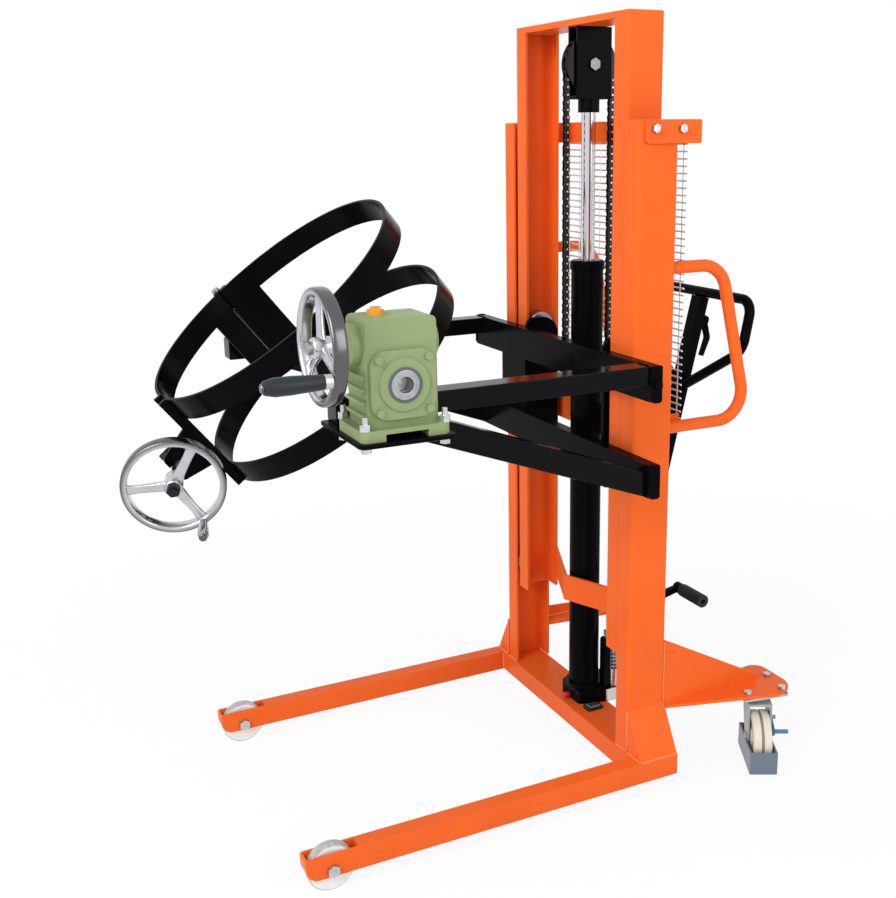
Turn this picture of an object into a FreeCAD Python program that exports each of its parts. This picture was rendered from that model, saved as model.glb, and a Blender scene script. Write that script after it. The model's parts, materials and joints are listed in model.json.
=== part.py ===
import FreeCAD, Part
import math
import os

V = FreeCAD.Vector

# Drum tipper in millimetres. +Z is up, the legs point to -Y, the gearbox is on the +X side,
# and the origin is the floor point under the middle of the mast.

# Fits
RUN = 0.05            # radial clearance of everything that turns on a pin or shaft
FACE_GAP = 0.5        # gap between faces that pass each other

# Floor frame
LEG_GAP = 630.0       # clear width between the legs
LEG_REACH = 780.0     # legs ahead of the crossbeam
LEG_W = 40.0
LEG_H = 50.0
LEG_TOP = 85.0
LEG_WALL = 4.0
BEAM_FRONT = -55.0
BEAM_D = 100.0
NOSE_R = 28.0
ROLLER_R = 50.0
ROLLER_W = 24.0
ROLLER_SET = 55.0     # roller axle behind the leg's tip
CHEEK = 6.0
AXLE_R = 8.0

# Mast
MAST_W = 590.0
MAST_D = 100.0
MAST_TOP = 1490.0
MAST_T = 7.0
FLANGE = 50.0
RAIL_GAP = 3.0        # side gap between the outer and the inner channel
GUSSET_H = 105.0
GUSSET_OUT = 58.0
INNER_D = 90.0
INNER_T = 7.0
INNER_BASE = 307.0
INNER_LEN = 1397.0
TOP_PLATE = 14.0
TIE_T = 8.0
TIE_Z = 765.0
TIE_H = 75.0
TIE_HALF = 254.0      # the middle tie ends beside the grab handles
BRACKET_T = 6.0
BRACKET_H = 48.0
BRACKET_BACK = 102.0  # y of the guard brackets' rear ends
STUB_R = 10.0         # stub axles of the mast and carriage rollers
RAIL_ROLLER_W = 34.0

# Wire guard
GUARD_HALF = 250.0
GUARD_BASE = 830.0
GUARD_PITCH = 19.0
GUARD_ROWS = 32
GUARD_BAYS = 3
GUARD_WIRE = 3.0

# Grab handles
HANDLE_X = 270.0
HANDLE_R = 13.5
HANDLE_TOP = 1186.0
HANDLE_LOW = 836.0
HANDLE_OUT = 138.0    # upper corner behind the mast
HANDLE_SWELL = 222.0  # lower corner behind the mast

# Rear chassis and casters
DECK_Z = 170.0
DECK_T = 8.0
DECK_BACK = 385.0
DECK_HALF = 392.0
DECK_IN = 215.0       # inner rear corner of each wing
LIP_H = 30.0          # low lip of the far wing
PANEL_X = 285.0
PANEL_T = 6.0
PANEL_TOP = 341.0
PANEL_LOW = 192.0
PANEL_BACK = 326.0
CASTER_X = 314.0
CASTER_Y = 308.0
CASTER_TURN = -28.0   # degrees from +X to the way the wheel trails
TRAIL = 35.0
WHEEL_R = 62.5
WHEEL_W = 44.0
CASTER_PLATE = 98.0
CASTER_PLATE_L = 118.0
CASTER_PLATE_T = 6.0
PLATE_TURN = -10.0    # caster plates follow the deck's flared edge
BOLT_INSET = 14.0
FORK_T = 4.0
TOE_LEN = 150.0     # toe guard round the wheel
TOE_LOW = 3.0
TOE_HIGH = 58.0

# Lift cylinder, chain and pump
CYL_Y = 11.5
CYL_R = 37.0
CYL_WALL = 7.0
CYL_TOP = 1160.0
GLAND_H = 22.0
ROD_R = 16.0
PISTON_Z = 340.0
BLOCK_TOP = 118.0
YOKE_BASE = 1537.0
YOKE_HALF = 20.0
YOKE_FRONT = 42.0     # yoke's plates ahead of and behind the rod
YOKE_BACK = 46.0
YOKE_T = 6.0
SHEAVE_Z = 1611.0
SHEAVE_R = 58.0       # pitch radius of the chain on the sheave
CHAIN_PITCH = 15.875
CHAIN_W = 16.0
CHAIN_T = 12.0
PUMP_X = 42.0
PUMP_Y = 74.0
PUMP_R = 18.0
PUMP_TOP = 165.0
PLUNGER_R = 8.0
PLUNGER_TOP = 222.0
SPRING_R = 13.0
SPRING_WIRE = 2.0
SPRING_TURNS = 5.5

# Tiller and pedal
TILLER_Y = 125.0
TILLER_Z = 224.0
TILLER_LEAN = 13.9
TILLER_LEN = 888.0
STEM_W = 36.0
STEM_D = 26.0
LOOP_R = 12.0
LOOP_HALF = 200.0
TRIGGER_S = 822.0     # trigger pivot up the stem
PEDAL_Y = 48.0
PEDAL_Z = 238.0
PEDAL_T = 12.0
GRIP_Y = 265.0
GRIP_Z = 340.0
GRIP_R = 14.0
GRIP_END = 146.0

# Carriage
CAR_FRONT = -80.0
CAR_BACK = -54.0
UPPER_Z = 934.0
UPPER_H = 74.0
LOWER_Z = 730.0
LOWER_H = 70.0
BEAM_WALL = 4.0
CAP_T = 6.0
CAP_OVER = 2.0
SIDE_X = 172.0
SIDE_T = 12.0
SIDE_LOW = 690.0
SIDE_TOP = 1028.0
CAR_ROLLER_LOW = 735.0
CAR_ROLLER_TOP = 1000.0
ARM_W = 50.0
ARM_H = 40.0
ARM_FRONT = -745.0
BRACE_IN = 6.0
BRACE_H = 52.0
BRACE_Y = -558.0      # rear end of the brace's seat under the foot plate
PLATE_T = 8.0         # gearbox foot plate

# Tilting head
PIVOT_Y = -671.0
PIVOT_Z = 1060.0
TILT = 38.2
SHAFT_R = 14.0
STUB_SHAFT_R = 20.0
BOSS_R = 32.0
BOSS_LEN = 21.0       # pivot bosses outside the hoops
ARM_GAP = 32.0        # pivot bosses to the arms
BOX_GAP = 25.0        # near arm to the gearbox's foot
BOX_W = 91.0
BOX_D = 128.0
BOX_TOP = 1172.0
BOX_ROUND = 10.0
FOOT_H = 20.0
FOOT_REACH = 17.0     # foot beyond the gearbox's body
FOOT_PAD = 42.0       # width of each rail of the foot
FOOT_ARCH = 12.0      # height of the arch between the rails
TUNNEL_OUT = 9.0      # closed end of the worm's tunnel behind the body
COVER_T = 8.0
COVER_SIZE = 118.0
HOLLOW_R = 26.0
CENTRES = 66.0        # worm axis above the wheel axis
WORM_R = 20.0
WORM_SHAFT_R = 11.0
WORM_WHEEL_R = 45.0
HANDWHEEL_R = 93.0    # middle of the rim
RIM_T = 7.0           # half the rim's section along its radius
RIM_HALF = 13.0       # half the rim's section along the axle
RIM_ROUND = 5.0
HUB_R = 18.0
SPOKE_R = 7.0
HUB_BACK = 16.0       # worm handwheel's hub behind and ahead of the rim's plane
HUB_FRONT = 18.0
WORM_GRIP_L = 112.0
CLAMP_HANDLE_L = 58.0
WORM_WHEEL_Y = -794.0 # plane of the worm handwheel
WORM_SPOKE = 334.0    # direction of the worm handwheel's grip from +X towards +Z
CLAMP_SPOKE = 266.0   # direction of the clamp handle in the upright cage, from +Y towards +Z

# Drum cage, drawn upright about its pivot and then tilted
HOOP_R = 297.0
HOOP_T = 6.0
HOOP_W = 52.0
HOOP_GAP = 130.0
DRUM_GAP = 1.0        # pieces between the hoops stand this far clear of the drum
PLATE_HALF = 40.0     # half width of a pivot plate
HINGE_R = 309.0
HINGE_ANGLE = 187.6
KNUCKLE_R = 10.0
PIN_R = 5.0
GATE_BAR_X = -6.0
BAR_T = 10.0
CAGE_BAR_X = 40.0
BAR_OUT = 12.0
EYE_X = 10.0
CLAMP_OUT = 360.0     # swing bolt's eye from the pivot axis
LUG_OUT = 380.0
CLAMP_R = 8.0
EYE_R = 10.0
EYE_HALF = 18.0
EAR_T = 7.0
CLAMP_LEN = 110.0     # eye to the plane of the clamp handwheel
BOLT_SWING = 19.1     # degrees that the swing bolt is swung out at rest
BOLT_CLOSED = 8.0     # its angle in the bottom of the slot
CLAMP_HUB_L = 40.0

# Places worked out from the sizes above
LEG_IN = LEG_GAP / 2
LEG_OUT = LEG_IN + LEG_W
LEG_BASE = LEG_TOP - LEG_H
LEG_TIP = BEAM_FRONT - LEG_REACH
MAST_REAR = MAST_D / 2
LEG_REAR = MAST_REAR
MAST_OUT = MAST_W / 2
MAST_IN = MAST_OUT - FLANGE
INNER_OUT = MAST_IN - RAIL_GAP
INNER_IN = INNER_OUT - FLANGE
INNER_TOP = INNER_BASE + INNER_LEN
MAST_ROLLER_R = MAST_D / 2 - MAST_T - 1
CAR_ROLLER_R = INNER_D / 2 - INNER_T - 1
MAST_ROLLER_Z = INNER_BASE + 60
ROLLER_AXLE_Y = LEG_TIP + ROLLER_SET
ROLLER_AXLE_Z = ROLLER_R
UPPER_TOP = UPPER_Z + UPPER_H
BOSS_OUT = HOOP_R + BOSS_LEN
CAR_HALF = BOSS_OUT + ARM_GAP + ARM_W
ARM_IN = CAR_HALF - ARM_W
ARM_BASE = UPPER_TOP - ARM_H
PLATE_BASE = ARM_BASE - PLATE_T
BOX_MID = CAR_HALF + BOX_GAP + FOOT_REACH + BOX_W / 2
BOX_IN = BOX_MID - BOX_W / 2
BOX_OUT = BOX_MID + BOX_W / 2
WORM_Z = PIVOT_Z + CENTRES
HOOP_IN = HOOP_R - HOOP_T
PLATE_IN = HOOP_IN + DRUM_GAP
HOOP_LOW = HOOP_GAP / 2
HOOP_TOP = HOOP_LOW + HOOP_W
AXIS = {"X": V(1, 0, 0), "Y": V(0, 1, 0), "Z": V(0, 0, 1)}


def box(x0, x1, y0, y1, z0, z1):
    return Part.makeBox(x1 - x0, y1 - y0, z1 - z0, V(x0, y0, z0))


def bar_x(x0, x1, y, z, r):
    return Part.makeCylinder(r, x1 - x0, V(x0, y, z), AXIS["X"])


def bar_y(x, y0, y1, z, r):
    return Part.makeCylinder(r, y1 - y0, V(x, y0, z), AXIS["Y"])


def bar_z(x, y, z0, z1, r):
    return Part.makeCylinder(r, z1 - z0, V(x, y, z0), AXIS["Z"])


def join(shapes):
    return shapes[0].multiFuse(shapes[1:]).removeSplitter()


def both(shape):
    """The shape and its mirror image on the other side, as one group."""
    return Part.makeCompound([shape, mirror(shape)])


def mirror(shape):
    return shape.mirror(V(0, 0, 0), AXIS["X"])


def spatial(axis, level, u, v):
    """Point u, v of a drawing across an axis, in space."""
    return {"X": V(level, u, v), "Y": V(u, level, v), "Z": V(u, v, level)}[axis]


def corner(before, here, after, r):
    """Start, middle and end of the arc of radius r that rounds a corner."""
    back = (before - here).normalize()
    on = (after - here).normalize()
    half = back.getAngle(on) / 2
    middle_way = (back + on).normalize()
    reach = r / math.tan(half)
    centre = here + middle_way * (r / math.sin(half))
    return here + back * reach, centre - middle_way * r, here + on * reach


def rounded_edges(points, radii, closed):
    """Lines through the points, with an arc wherever a radius is given."""
    last = len(points) - 1
    stops = []
    for i, here in enumerate(points):
        at_end = not closed and i in (0, last)
        if radii[i] > 0 and not at_end:
            stops.append(corner(points[i - 1], here, points[(i + 1) % len(points)], radii[i]))
        else:
            stops.append((here,))
    edges = []
    for i, stop in enumerate(stops):
        if len(stop) == 3:
            edges.append(Part.Arc(*stop).toShape())
        if i == last and not closed:
            break
        start, end = stop[-1], stops[(i + 1) % len(stops)][0]
        if (end - start).Length > 1e-6:
            edges.append(Part.makeLine(start, end))
    return edges


def face(points, axis, level):
    """Flat face with corners (u, v, radius) across an axis."""
    spots = [spatial(axis, level, u, v) for u, v, r in points]
    edges = rounded_edges(spots, [r for u, v, r in points], True)
    return Part.Face(Part.Wire(edges))


def prism(points, axis, low, high):
    return face(points, axis, low).extrude(AXIS[axis] * (high - low))


def turned(profile, axis, base):
    """Solid of revolution: profile is (radius, distance along the axis) from the base point."""
    side = AXIS["Y"] if axis == "X" else AXIS["X"]
    spots = [base + side * r + AXIS[axis] * h for r, h in profile]
    wire = Part.makePolygon(spots + spots[:1])
    return Part.Face(wire).revolve(base, AXIS[axis], 360)


def tube(points, radii, r):
    """Round bar along straight runs joined by arcs."""
    path = Part.Wire(rounded_edges(points, radii, False))
    start = Part.Wire(Part.makeCircle(r, points[0], points[1] - points[0]))
    return path.makePipeShell([start], True, True)


def hexagon(axis, base, across, height):
    """Hexagonal head: base is the middle of its lower face."""
    flat = [(base.y, base.z), (base.x, base.z), (base.x, base.y)]["XYZ".index(axis)]
    level = {"X": base.x, "Y": base.y, "Z": base.z}[axis]
    r = across / math.sqrt(3)
    spots = []
    for i in range(6):
        turn = math.radians(60 * i + 30)
        spots.append((flat[0] + r * math.cos(turn), flat[1] + r * math.sin(turn), 0))
    return prism(spots, axis, min(level, level + height), max(level, level + height))


def leg():
    """Right fork leg: a tube with a slotted tip that carries the roller."""
    side = [(LEG_TIP, LEG_BASE, NOSE_R), (LEG_REAR, LEG_BASE, 0)]
    side += [(LEG_REAR, LEG_TOP, 0), (LEG_TIP, LEG_TOP, CHEEK)]
    slot_end = ROLLER_AXLE_Y + ROLLER_R + CHEEK
    slot = box(LEG_IN + CHEEK, LEG_OUT - CHEEK, LEG_TIP + LEG_WALL, slot_end, 0, LEG_TOP + LEG_H)
    hollow = box(LEG_IN + LEG_WALL, LEG_OUT - LEG_WALL, slot_end + CHEEK, LEG_REAR - LEG_WALL,
                 LEG_BASE + LEG_WALL, LEG_TOP - LEG_WALL)
    axle = bar_x(LEG_IN, LEG_OUT, ROLLER_AXLE_Y, ROLLER_AXLE_Z, AXLE_R)
    return prism(side, "X", LEG_IN, LEG_OUT).cut(slot).cut(hollow).cut(axle)


def crossbeam():
    outer = box(-LEG_IN, LEG_IN, BEAM_FRONT, BEAM_FRONT + BEAM_D, LEG_BASE, LEG_TOP)
    wall = LEG_WALL
    inner = box(-LEG_IN, LEG_IN, BEAM_FRONT + wall, BEAM_FRONT + BEAM_D - wall,
                LEG_BASE + wall, LEG_TOP - wall)
    return outer.cut(inner)


def mast_gusset():
    """Right wedge between the mast's side and the top of the leg."""
    wall = BRACKET_T
    foot = LEG_TOP
    wedge = [(MAST_OUT, foot, 0), (MAST_OUT + GUSSET_OUT, foot, 0), (MAST_OUT, foot + GUSSET_H, 0)]
    hollow = [(MAST_OUT, foot, 0), (MAST_OUT + GUSSET_OUT - 1.5 * wall, foot, 0)]
    hollow += [(MAST_OUT, foot + GUSSET_H - 2.5 * wall, 0)]
    outer = prism(wedge, "Y", -MAST_D / 2, MAST_D / 2)
    return outer.cut(prism(hollow, "Y", -MAST_D / 2 + wall, MAST_D / 2 - wall))


def channel(out, depth, wall, low, high):
    """Right channel with its back at x = out, open towards the middle."""
    half = depth / 2
    tip = out - FLANGE
    bend = wall + 2
    points = [(out, -half, bend), (out, half, bend), (tip, half, 0), (tip, half - wall, 0)]
    points += [(out - wall, half - wall, 2), (out - wall, wall - half, 2)]
    points += [(tip, wall - half, 0), (tip, -half, 0)]
    return prism(points, "Z", low, high)


def outer_mast():
    return channel(MAST_OUT, MAST_D, MAST_T, LEG_TOP, MAST_TOP)


def mast_ties():
    """Crossbar behind the mast's top, and middle tie with the chain's fixed anchor."""
    top = box(-MAST_OUT, MAST_OUT, BRACKET_BACK - TIE_T, BRACKET_BACK, MAST_TOP - BRACKET_H, MAST_TOP)
    back = MAST_REAR + TIE_T
    middle = box(-TIE_HALF, TIE_HALF, MAST_REAR, back, TIE_Z, TIE_Z + TIE_H)
    strand_y = CYL_Y + SHEAVE_R
    anchor = box(-CHAIN_W, CHAIN_W, back, strand_y + CHAIN_T, TIE_Z + TIE_H / 2, TIE_Z + TIE_H)
    return [top, join([middle, anchor])]


def guard_brackets():
    """Plates that hold the guard: two on the mast's sides at the top, two tabs lower down."""
    low = MAST_TOP - BRACKET_H
    outline = [(-36, low, 10), (BRACKET_BACK, low, 4), (BRACKET_BACK, MAST_TOP, 4), (-36, MAST_TOP, 10)]
    plate = prism(outline, "X", MAST_OUT, MAST_OUT + BRACKET_T)
    edge = GUARD_HALF - BRACKET_T
    seat = TIE_Z + TIE_H
    tab = box(edge, GUARD_HALF, MAST_REAR, BRACKET_BACK, seat, seat + GUARD_PITCH)
    return [plate, mirror(plate), tab, mirror(tab)]


def mesh_guard():
    """Flat wire guard as one holed face, GUARD_WIRE thick."""
    wire = GUARD_WIRE
    top = GUARD_BASE + GUARD_ROWS * GUARD_PITCH
    edge = [(-GUARD_HALF, GUARD_BASE, 0), (GUARD_HALF, GUARD_BASE, 0)]
    edge += [(GUARD_HALF, top + wire, 0), (-GUARD_HALF, top + wire, 0)]
    bay = (2 * GUARD_HALF - wire) / GUARD_BAYS
    holes = []
    for row in range(GUARD_ROWS):
        low = GUARD_BASE + row * GUARD_PITCH + wire
        high = low + GUARD_PITCH - wire
        for column in range(GUARD_BAYS):
            left = -GUARD_HALF + column * bay + wire
            right = left + bay - wire
            hole = [(left, low, 0), (right, low, 0), (right, high, 0), (left, high, 0)]
            holes.append(face(hole, "Y", BRACKET_BACK).OuterWire)
    rim = face(edge, "Y", BRACKET_BACK).OuterWire
    net = Part.Face([rim] + holes)
    return net.extrude(V(0, wire, 0))


def grab_handle():
    """Right bent tube behind the mast."""
    path = [(MAST_REAR, HANDLE_TOP), (MAST_REAR + HANDLE_OUT, HANDLE_TOP)]
    path += [(MAST_REAR + HANDLE_SWELL, HANDLE_LOW), (MAST_REAR, HANDLE_LOW)]
    spots = [V(HANDLE_X, y, z) for y, z in path]
    return tube(spots, [0, 65, 62, 0], HANDLE_R)


def wing(high, low):
    """Right outrigger behind the mast: flared deck plate and an upright panel that slopes down."""
    top = DECK_Z + DECK_T
    outline = [(MAST_OUT, MAST_REAR, 0), (DECK_HALF, DECK_BACK, 60), (DECK_IN, DECK_BACK, 30)]
    outline += [(MAST_IN, MAST_REAR, 0)]
    slope = [(MAST_REAR, top, 0), (PANEL_BACK, top, 0), (PANEL_BACK, low, 6), (MAST_REAR, high, 0)]
    return join([prism(outline, "Z", DECK_Z, top), prism(slope, "X", PANEL_X, PANEL_X + PANEL_T)])


def rear_chassis():
    """Two outriggers: a tall panel on the near one, a low lip on the far one."""
    lip = DECK_Z + DECK_T + LIP_H
    return Part.makeCompound([wing(PANEL_TOP, PANEL_LOW), mirror(wing(lip, PANEL_LOW))])


def on_deck(shape):
    """Set a piece drawn about the right caster's swivel axis along the deck's flared edge."""
    out = shape.copy()
    out.rotate(V(0, 0, 0), AXIS["Z"], PLATE_TURN)
    out.translate(V(CASTER_X, CASTER_Y, 0))
    return out


def caster_plate():
    """Right plate that bolts a caster under the deck."""
    u, v = CASTER_PLATE / 2, CASTER_PLATE_L / 2
    outline = [(-u, -v, 8), (u, -v, 8), (u, v, 8), (-u, v, 8)]
    plate = prism(outline, "Z", DECK_Z - CASTER_PLATE_T, DECK_Z)
    return on_deck(plate.cut(bar_z(0, 0, 0, DECK_Z, STUB_R + RUN)))


def caster_fork():
    """Fork, swivel stem, axle and toe guard, drawn with the wheel trailing along +X."""
    top = DECK_Z - CASTER_PLATE_T - FACE_GAP
    leg_in = WHEEL_W / 2 + 2
    leg_out = leg_in + FORK_T
    head = bar_z(0, 0, top - 15, top, 30)
    stem = bar_z(0, 0, top, DECK_Z - 1, STUB_R)
    crown = box(-28, TRAIL + 10, -leg_out, leg_out, top - 20, top - 14)
    reach = AXLE_R * 2
    shape = [(-28, top - 15, 6), (TRAIL - reach, TOE_LOW + 30, 0), (TRAIL + reach, TOE_LOW + 30, 0)]
    shape += [(TRAIL + reach, WHEEL_R + 22, 20), (TRAIL + 10, top - 15, 6)]
    near = prism(shape, "Y", leg_in, leg_out)
    far = prism(shape, "Y", -leg_out, -leg_in)
    axle = bar_y(TRAIL, -leg_out - FORK_T, leg_out + FORK_T, WHEEL_R, AXLE_R)
    back, front = TRAIL - TOE_LEN / 2, TRAIL + TOE_LEN / 2
    out = leg_out + FORK_T
    ring = box(back, front, -out, out, TOE_LOW, TOE_HIGH)
    inside = box(back + FORK_T, front - FORK_T, -leg_out, leg_out, TOE_LOW, TOE_HIGH)
    pin = bar_y(TRAIL - 15, leg_out, leg_out + 14, WHEEL_R + 42, PIN_R)
    return join([head, stem, crown, near, far, axle, ring.cut(inside), pin])


def caster_wheel():
    half = WHEEL_W / 2
    bore = AXLE_R + RUN
    profile = [(bore, -half), (24, -half), (28, 3 - half), (WHEEL_R - 14, 3 - half), (WHEEL_R - 8, -half)]
    profile += [(WHEEL_R - 3, -half), (WHEEL_R, 3 - half), (WHEEL_R, -3), (WHEEL_R - 2, -2)]
    profile += [(r, -h) for r, h in reversed(profile)]
    return turned(profile, "Y", V(TRAIL, 0, WHEEL_R))


def caster_brake():
    """Lever on the fork's side with a thin foot rod."""
    inner = WHEEL_W / 2 + 2 + FORK_T + FACE_GAP
    x, z = TRAIL - 15, WHEEL_R + 42
    arm = [(x - 10, z - 10, 8), (x + 42, z - 30, 6), (x + 50, z - 12, 6), (x - 6, z + 12, 8)]
    lever = prism(arm, "Y", inner, inner + FORK_T)
    foot = bar_y(x + 38, inner + FORK_T, inner + 36, z - 18, PIN_R)
    return join([lever, foot]).cut(bar_y(x, 0, inner + 36, z, PIN_R + RUN))


def placed_caster(shape, side):
    """Turn a caster piece to its rest heading and set it under its corner of the deck."""
    out = shape.copy()
    out.rotate(V(0, 0, 0), AXIS["Z"], CASTER_TURN)
    out.translate(V(side * CASTER_X, CASTER_Y, 0))
    return out


def front_roller():
    """Right load roller: nylon with a narrow waist beside the hub."""
    middle = (LEG_IN + LEG_OUT) / 2
    half = ROLLER_W / 2
    profile = [(AXLE_R + RUN, -half), (20, -half), (22, 2 - half), (38, 2 - half), (42, -half)]
    profile += [(ROLLER_R - 2, -half), (ROLLER_R, 2 - half)]
    profile += [(r, -h) for r, h in reversed(profile)]
    return turned(profile, "X", V(middle, ROLLER_AXLE_Y, ROLLER_AXLE_Z))


def frame_bolts():
    """Front axle bolts, guard bracket bolts and caster bolts."""
    solids = []
    shank = bar_x(LEG_IN, LEG_OUT, ROLLER_AXLE_Y, ROLLER_AXLE_Z, AXLE_R)
    head = hexagon("X", V(LEG_OUT, ROLLER_AXLE_Y, ROLLER_AXLE_Z), 24, 8)
    nut = hexagon("X", V(LEG_IN, ROLLER_AXLE_Y, ROLLER_AXLE_Z), 24, -8)
    axle = join([shank, head, nut])
    solids += [axle, mirror(axle)]
    for y in (-14, 52):
        bolt = hexagon("X", V(MAST_OUT + BRACKET_T, y, MAST_TOP - 18), 17, 8)
        solids += [bolt, mirror(bolt)]
    u, v = CASTER_PLATE / 2 - BOLT_INSET, CASTER_PLATE_L / 2 - BOLT_INSET
    for x in (-u, u):
        for y in (-v, v):
            bolt = on_deck(hexagon("Z", V(x, y, DECK_Z + DECK_T), 17, 8))
            solids += [bolt, mirror(bolt)]
    return Part.makeCompound(solids)


def pump_block():
    """Cast foot of the lift cylinder with the pump barrel and the pivots of tiller and pedal."""
    back = TILLER_Y + 18
    front, side = CYL_Y - 40, PUMP_X + 22
    shape = [(-45, front, 12), (45, front, 12), (side, PUMP_Y - 30, 12), (side, back, 12), (-45, back, 12)]
    body = prism(shape, "Z", LEG_TOP, BLOCK_TOP)
    socket = bar_z(0, CYL_Y, BLOCK_TOP, BLOCK_TOP + 10, CYL_R + 8).cut(bar_z(0, CYL_Y, 0, CYL_TOP, CYL_R))
    barrel = bar_z(PUMP_X, PUMP_Y, BLOCK_TOP, PUMP_TOP, PUMP_R)
    bore = bar_z(PUMP_X, PUMP_Y, LEG_TOP + 15, PUMP_TOP, PLUNGER_R + RUN)
    hub = STEM_W / 2 + FACE_GAP
    ear = [(TILLER_Y - 13, BLOCK_TOP, 0), (TILLER_Y + 13, BLOCK_TOP, 0), (TILLER_Y + 13, TILLER_Z + 14, 11)]
    ear += [(TILLER_Y - 13, TILLER_Z + 14, 11)]
    tiller_ear = prism(ear, "X", hub, hub + 8)
    tiller_pin = bar_x(-hub - 12, hub + 12, TILLER_Y, TILLER_Z, AXLE_R)
    stop = [(PEDAL_Y - 8, BLOCK_TOP, 0), (PEDAL_Y + 8, BLOCK_TOP, 0), (PEDAL_Y + 8, PEDAL_Z + 10, 7)]
    stop += [(PEDAL_Y - 8, PEDAL_Z + 10, 7)]
    cheek = PEDAL_T / 2 + FACE_GAP
    near = prism(stop, "X", PUMP_X + cheek, PUMP_X + cheek + 5)
    far = prism(stop, "X", PUMP_X - cheek - 5, PUMP_X - cheek)
    pedal_pin = bar_x(PUMP_X - cheek - 8, PUMP_X + cheek + 8, PEDAL_Y, PEDAL_Z, PIN_R)
    solid = join([body, socket, barrel, tiller_ear, mirror(tiller_ear), tiller_pin, near, far, pedal_pin])
    return solid.cut(bore)


def cylinder_tube():
    outer = bar_z(0, CYL_Y, BLOCK_TOP, CYL_TOP, CYL_R)
    return outer.cut(bar_z(0, CYL_Y, BLOCK_TOP, CYL_TOP, CYL_R - CYL_WALL))


def cylinder_gland():
    top = GLAND_H
    profile = [(ROD_R + RUN, 0), (CYL_R + 3, 0), (CYL_R + 3, top - 5), (CYL_R - 2, top), (ROD_R + RUN, top)]
    return turned(profile, "Z", V(0, CYL_Y, CYL_TOP))


def piston_rod():
    rod = bar_z(0, CYL_Y, PISTON_Z, YOKE_BASE, ROD_R)
    return join([rod, bar_z(0, CYL_Y, PISTON_Z, PISTON_Z + 40, CYL_R - CYL_WALL - RUN)])


def pump_plunger():
    stem = bar_z(PUMP_X, PUMP_Y, LEG_TOP + 35, PLUNGER_TOP - 4, PLUNGER_R)
    cap = bar_z(PUMP_X, PUMP_Y, PLUNGER_TOP - 12, PLUNGER_TOP - 5, SPRING_R + SPRING_WIRE + 1)
    return join([stem, cap, bar_z(PUMP_X, PUMP_Y, PLUNGER_TOP - 5, PLUNGER_TOP, 4)])


def helix_point(turns, low, rise):
    """Point and direction on the spring's middle line after some turns."""
    angle = 2 * math.pi * turns
    spot = V(PUMP_X + SPRING_R * math.cos(angle), PUMP_Y + SPRING_R * math.sin(angle), low + rise * turns)
    way = V(-SPRING_R * math.sin(angle), SPRING_R * math.cos(angle), rise / (2 * math.pi))
    return spot, way.normalize()


def half_arc(start, way, end):
    """Arc from a start point and direction to an end point."""
    chord = end - start
    angle = way.getAngle(chord)
    tip = start + way * (chord.Length / 2 / math.cos(angle))
    middle = (start + end) * 0.5
    crown = middle + (tip - middle) * (math.cos(angle) / (1 + math.cos(angle)))
    return Part.Arc(start, crown, end).toShape()


def pump_spring():
    """Return spring round the plunger: a helix of biarcs, each a quarter of a turn."""
    low = PUMP_TOP + SPRING_WIRE + FACE_GAP / 5
    rise = (PLUNGER_TOP - 12 - SPRING_WIRE - FACE_GAP / 5 - low) / SPRING_TURNS
    edges = []
    for step in range(int(SPRING_TURNS * 4)):
        start, way_in = helix_point(step / 4, low, rise)
        end, way_out = helix_point((step + 1) / 4, low, rise)
        chord = end - start
        spread = way_in + way_out
        open_part = 2 * (1 - way_in.dot(way_out))
        along = chord.dot(spread)
        reach = (math.sqrt(along ** 2 + open_part * chord.dot(chord)) - along) / open_part
        meet = (start + end + (way_in - way_out) * reach) * 0.5
        edges.append(half_arc(start, way_in, meet))
        edges.append(half_arc(end, way_out * -1, meet))
    first, way = helix_point(0, low, rise)
    shell = Part.BRepOffsetAPI.MakePipeShell(Part.Wire(edges))
    shell.add(Part.Wire(Part.makeCircle(SPRING_WIRE, first, way)))
    shell.build()
    shell.makeSolid()
    spots = [helix_point(i / 24, low, rise)[0] for i in range(int(SPRING_TURNS * 24) + 1)]
    gaps = [(spots[j] - spots[i]).Length for i in range(len(spots)) for j in range(i + 12, len(spots))]
    print("spring: least gap to itself %.2f mm" % (min(gaps) - 2 * SPRING_WIRE))
    return shell.shape()


def inner_mast():
    """Right moving channel with the stub axle of its roller."""
    rail = channel(INNER_OUT, INNER_D, INNER_T, INNER_BASE, INNER_TOP)
    stub = bar_x(INNER_OUT - INNER_T, MAST_OUT - MAST_T - 2, 0, MAST_ROLLER_Z, STUB_R)
    return join([rail, stub])


def inner_mast_ties():
    """Plate across the top of the moving mast, and the bent tie across its foot."""
    inside = INNER_OUT - INNER_T
    half = INNER_D / 2
    low = INNER_TOP - TOP_PLATE
    plate = join([box(-INNER_IN, INNER_IN, -half, half, low, INNER_TOP),
                  box(-inside, inside, 2 * INNER_T - half, half - 2 * INNER_T, low, INNER_TOP)])
    front = CYL_Y - CYL_R - 12
    end = half - TIE_T - 2
    points = [(0, front - TIE_T - 1, 6), (INNER_IN, end, 0), (INNER_IN, half, 0), (0, front, 0)]
    points += [(-INNER_IN, half, 0), (-INNER_IN, end, 0)]
    tie = prism(points, "Z", INNER_BASE + 46, INNER_BASE + 110)
    return Part.makeCompound([plate, tie])


def rail_roller(inner, r):
    """Right roller that runs inside a channel, on a stub axle."""
    w = RAIL_ROLLER_W
    bore = STUB_R + RUN
    profile = [(bore, 0), (r - 3, 0), (r, 3), (r, w - 3), (r - 3, w), (bore, w)]
    return turned(profile, "X", V(inner, 0, 0))


def roller_pair(inner, r, z):
    pair = both(rail_roller(inner, r))
    pair.translate(V(0, 0, z))
    return pair


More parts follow.
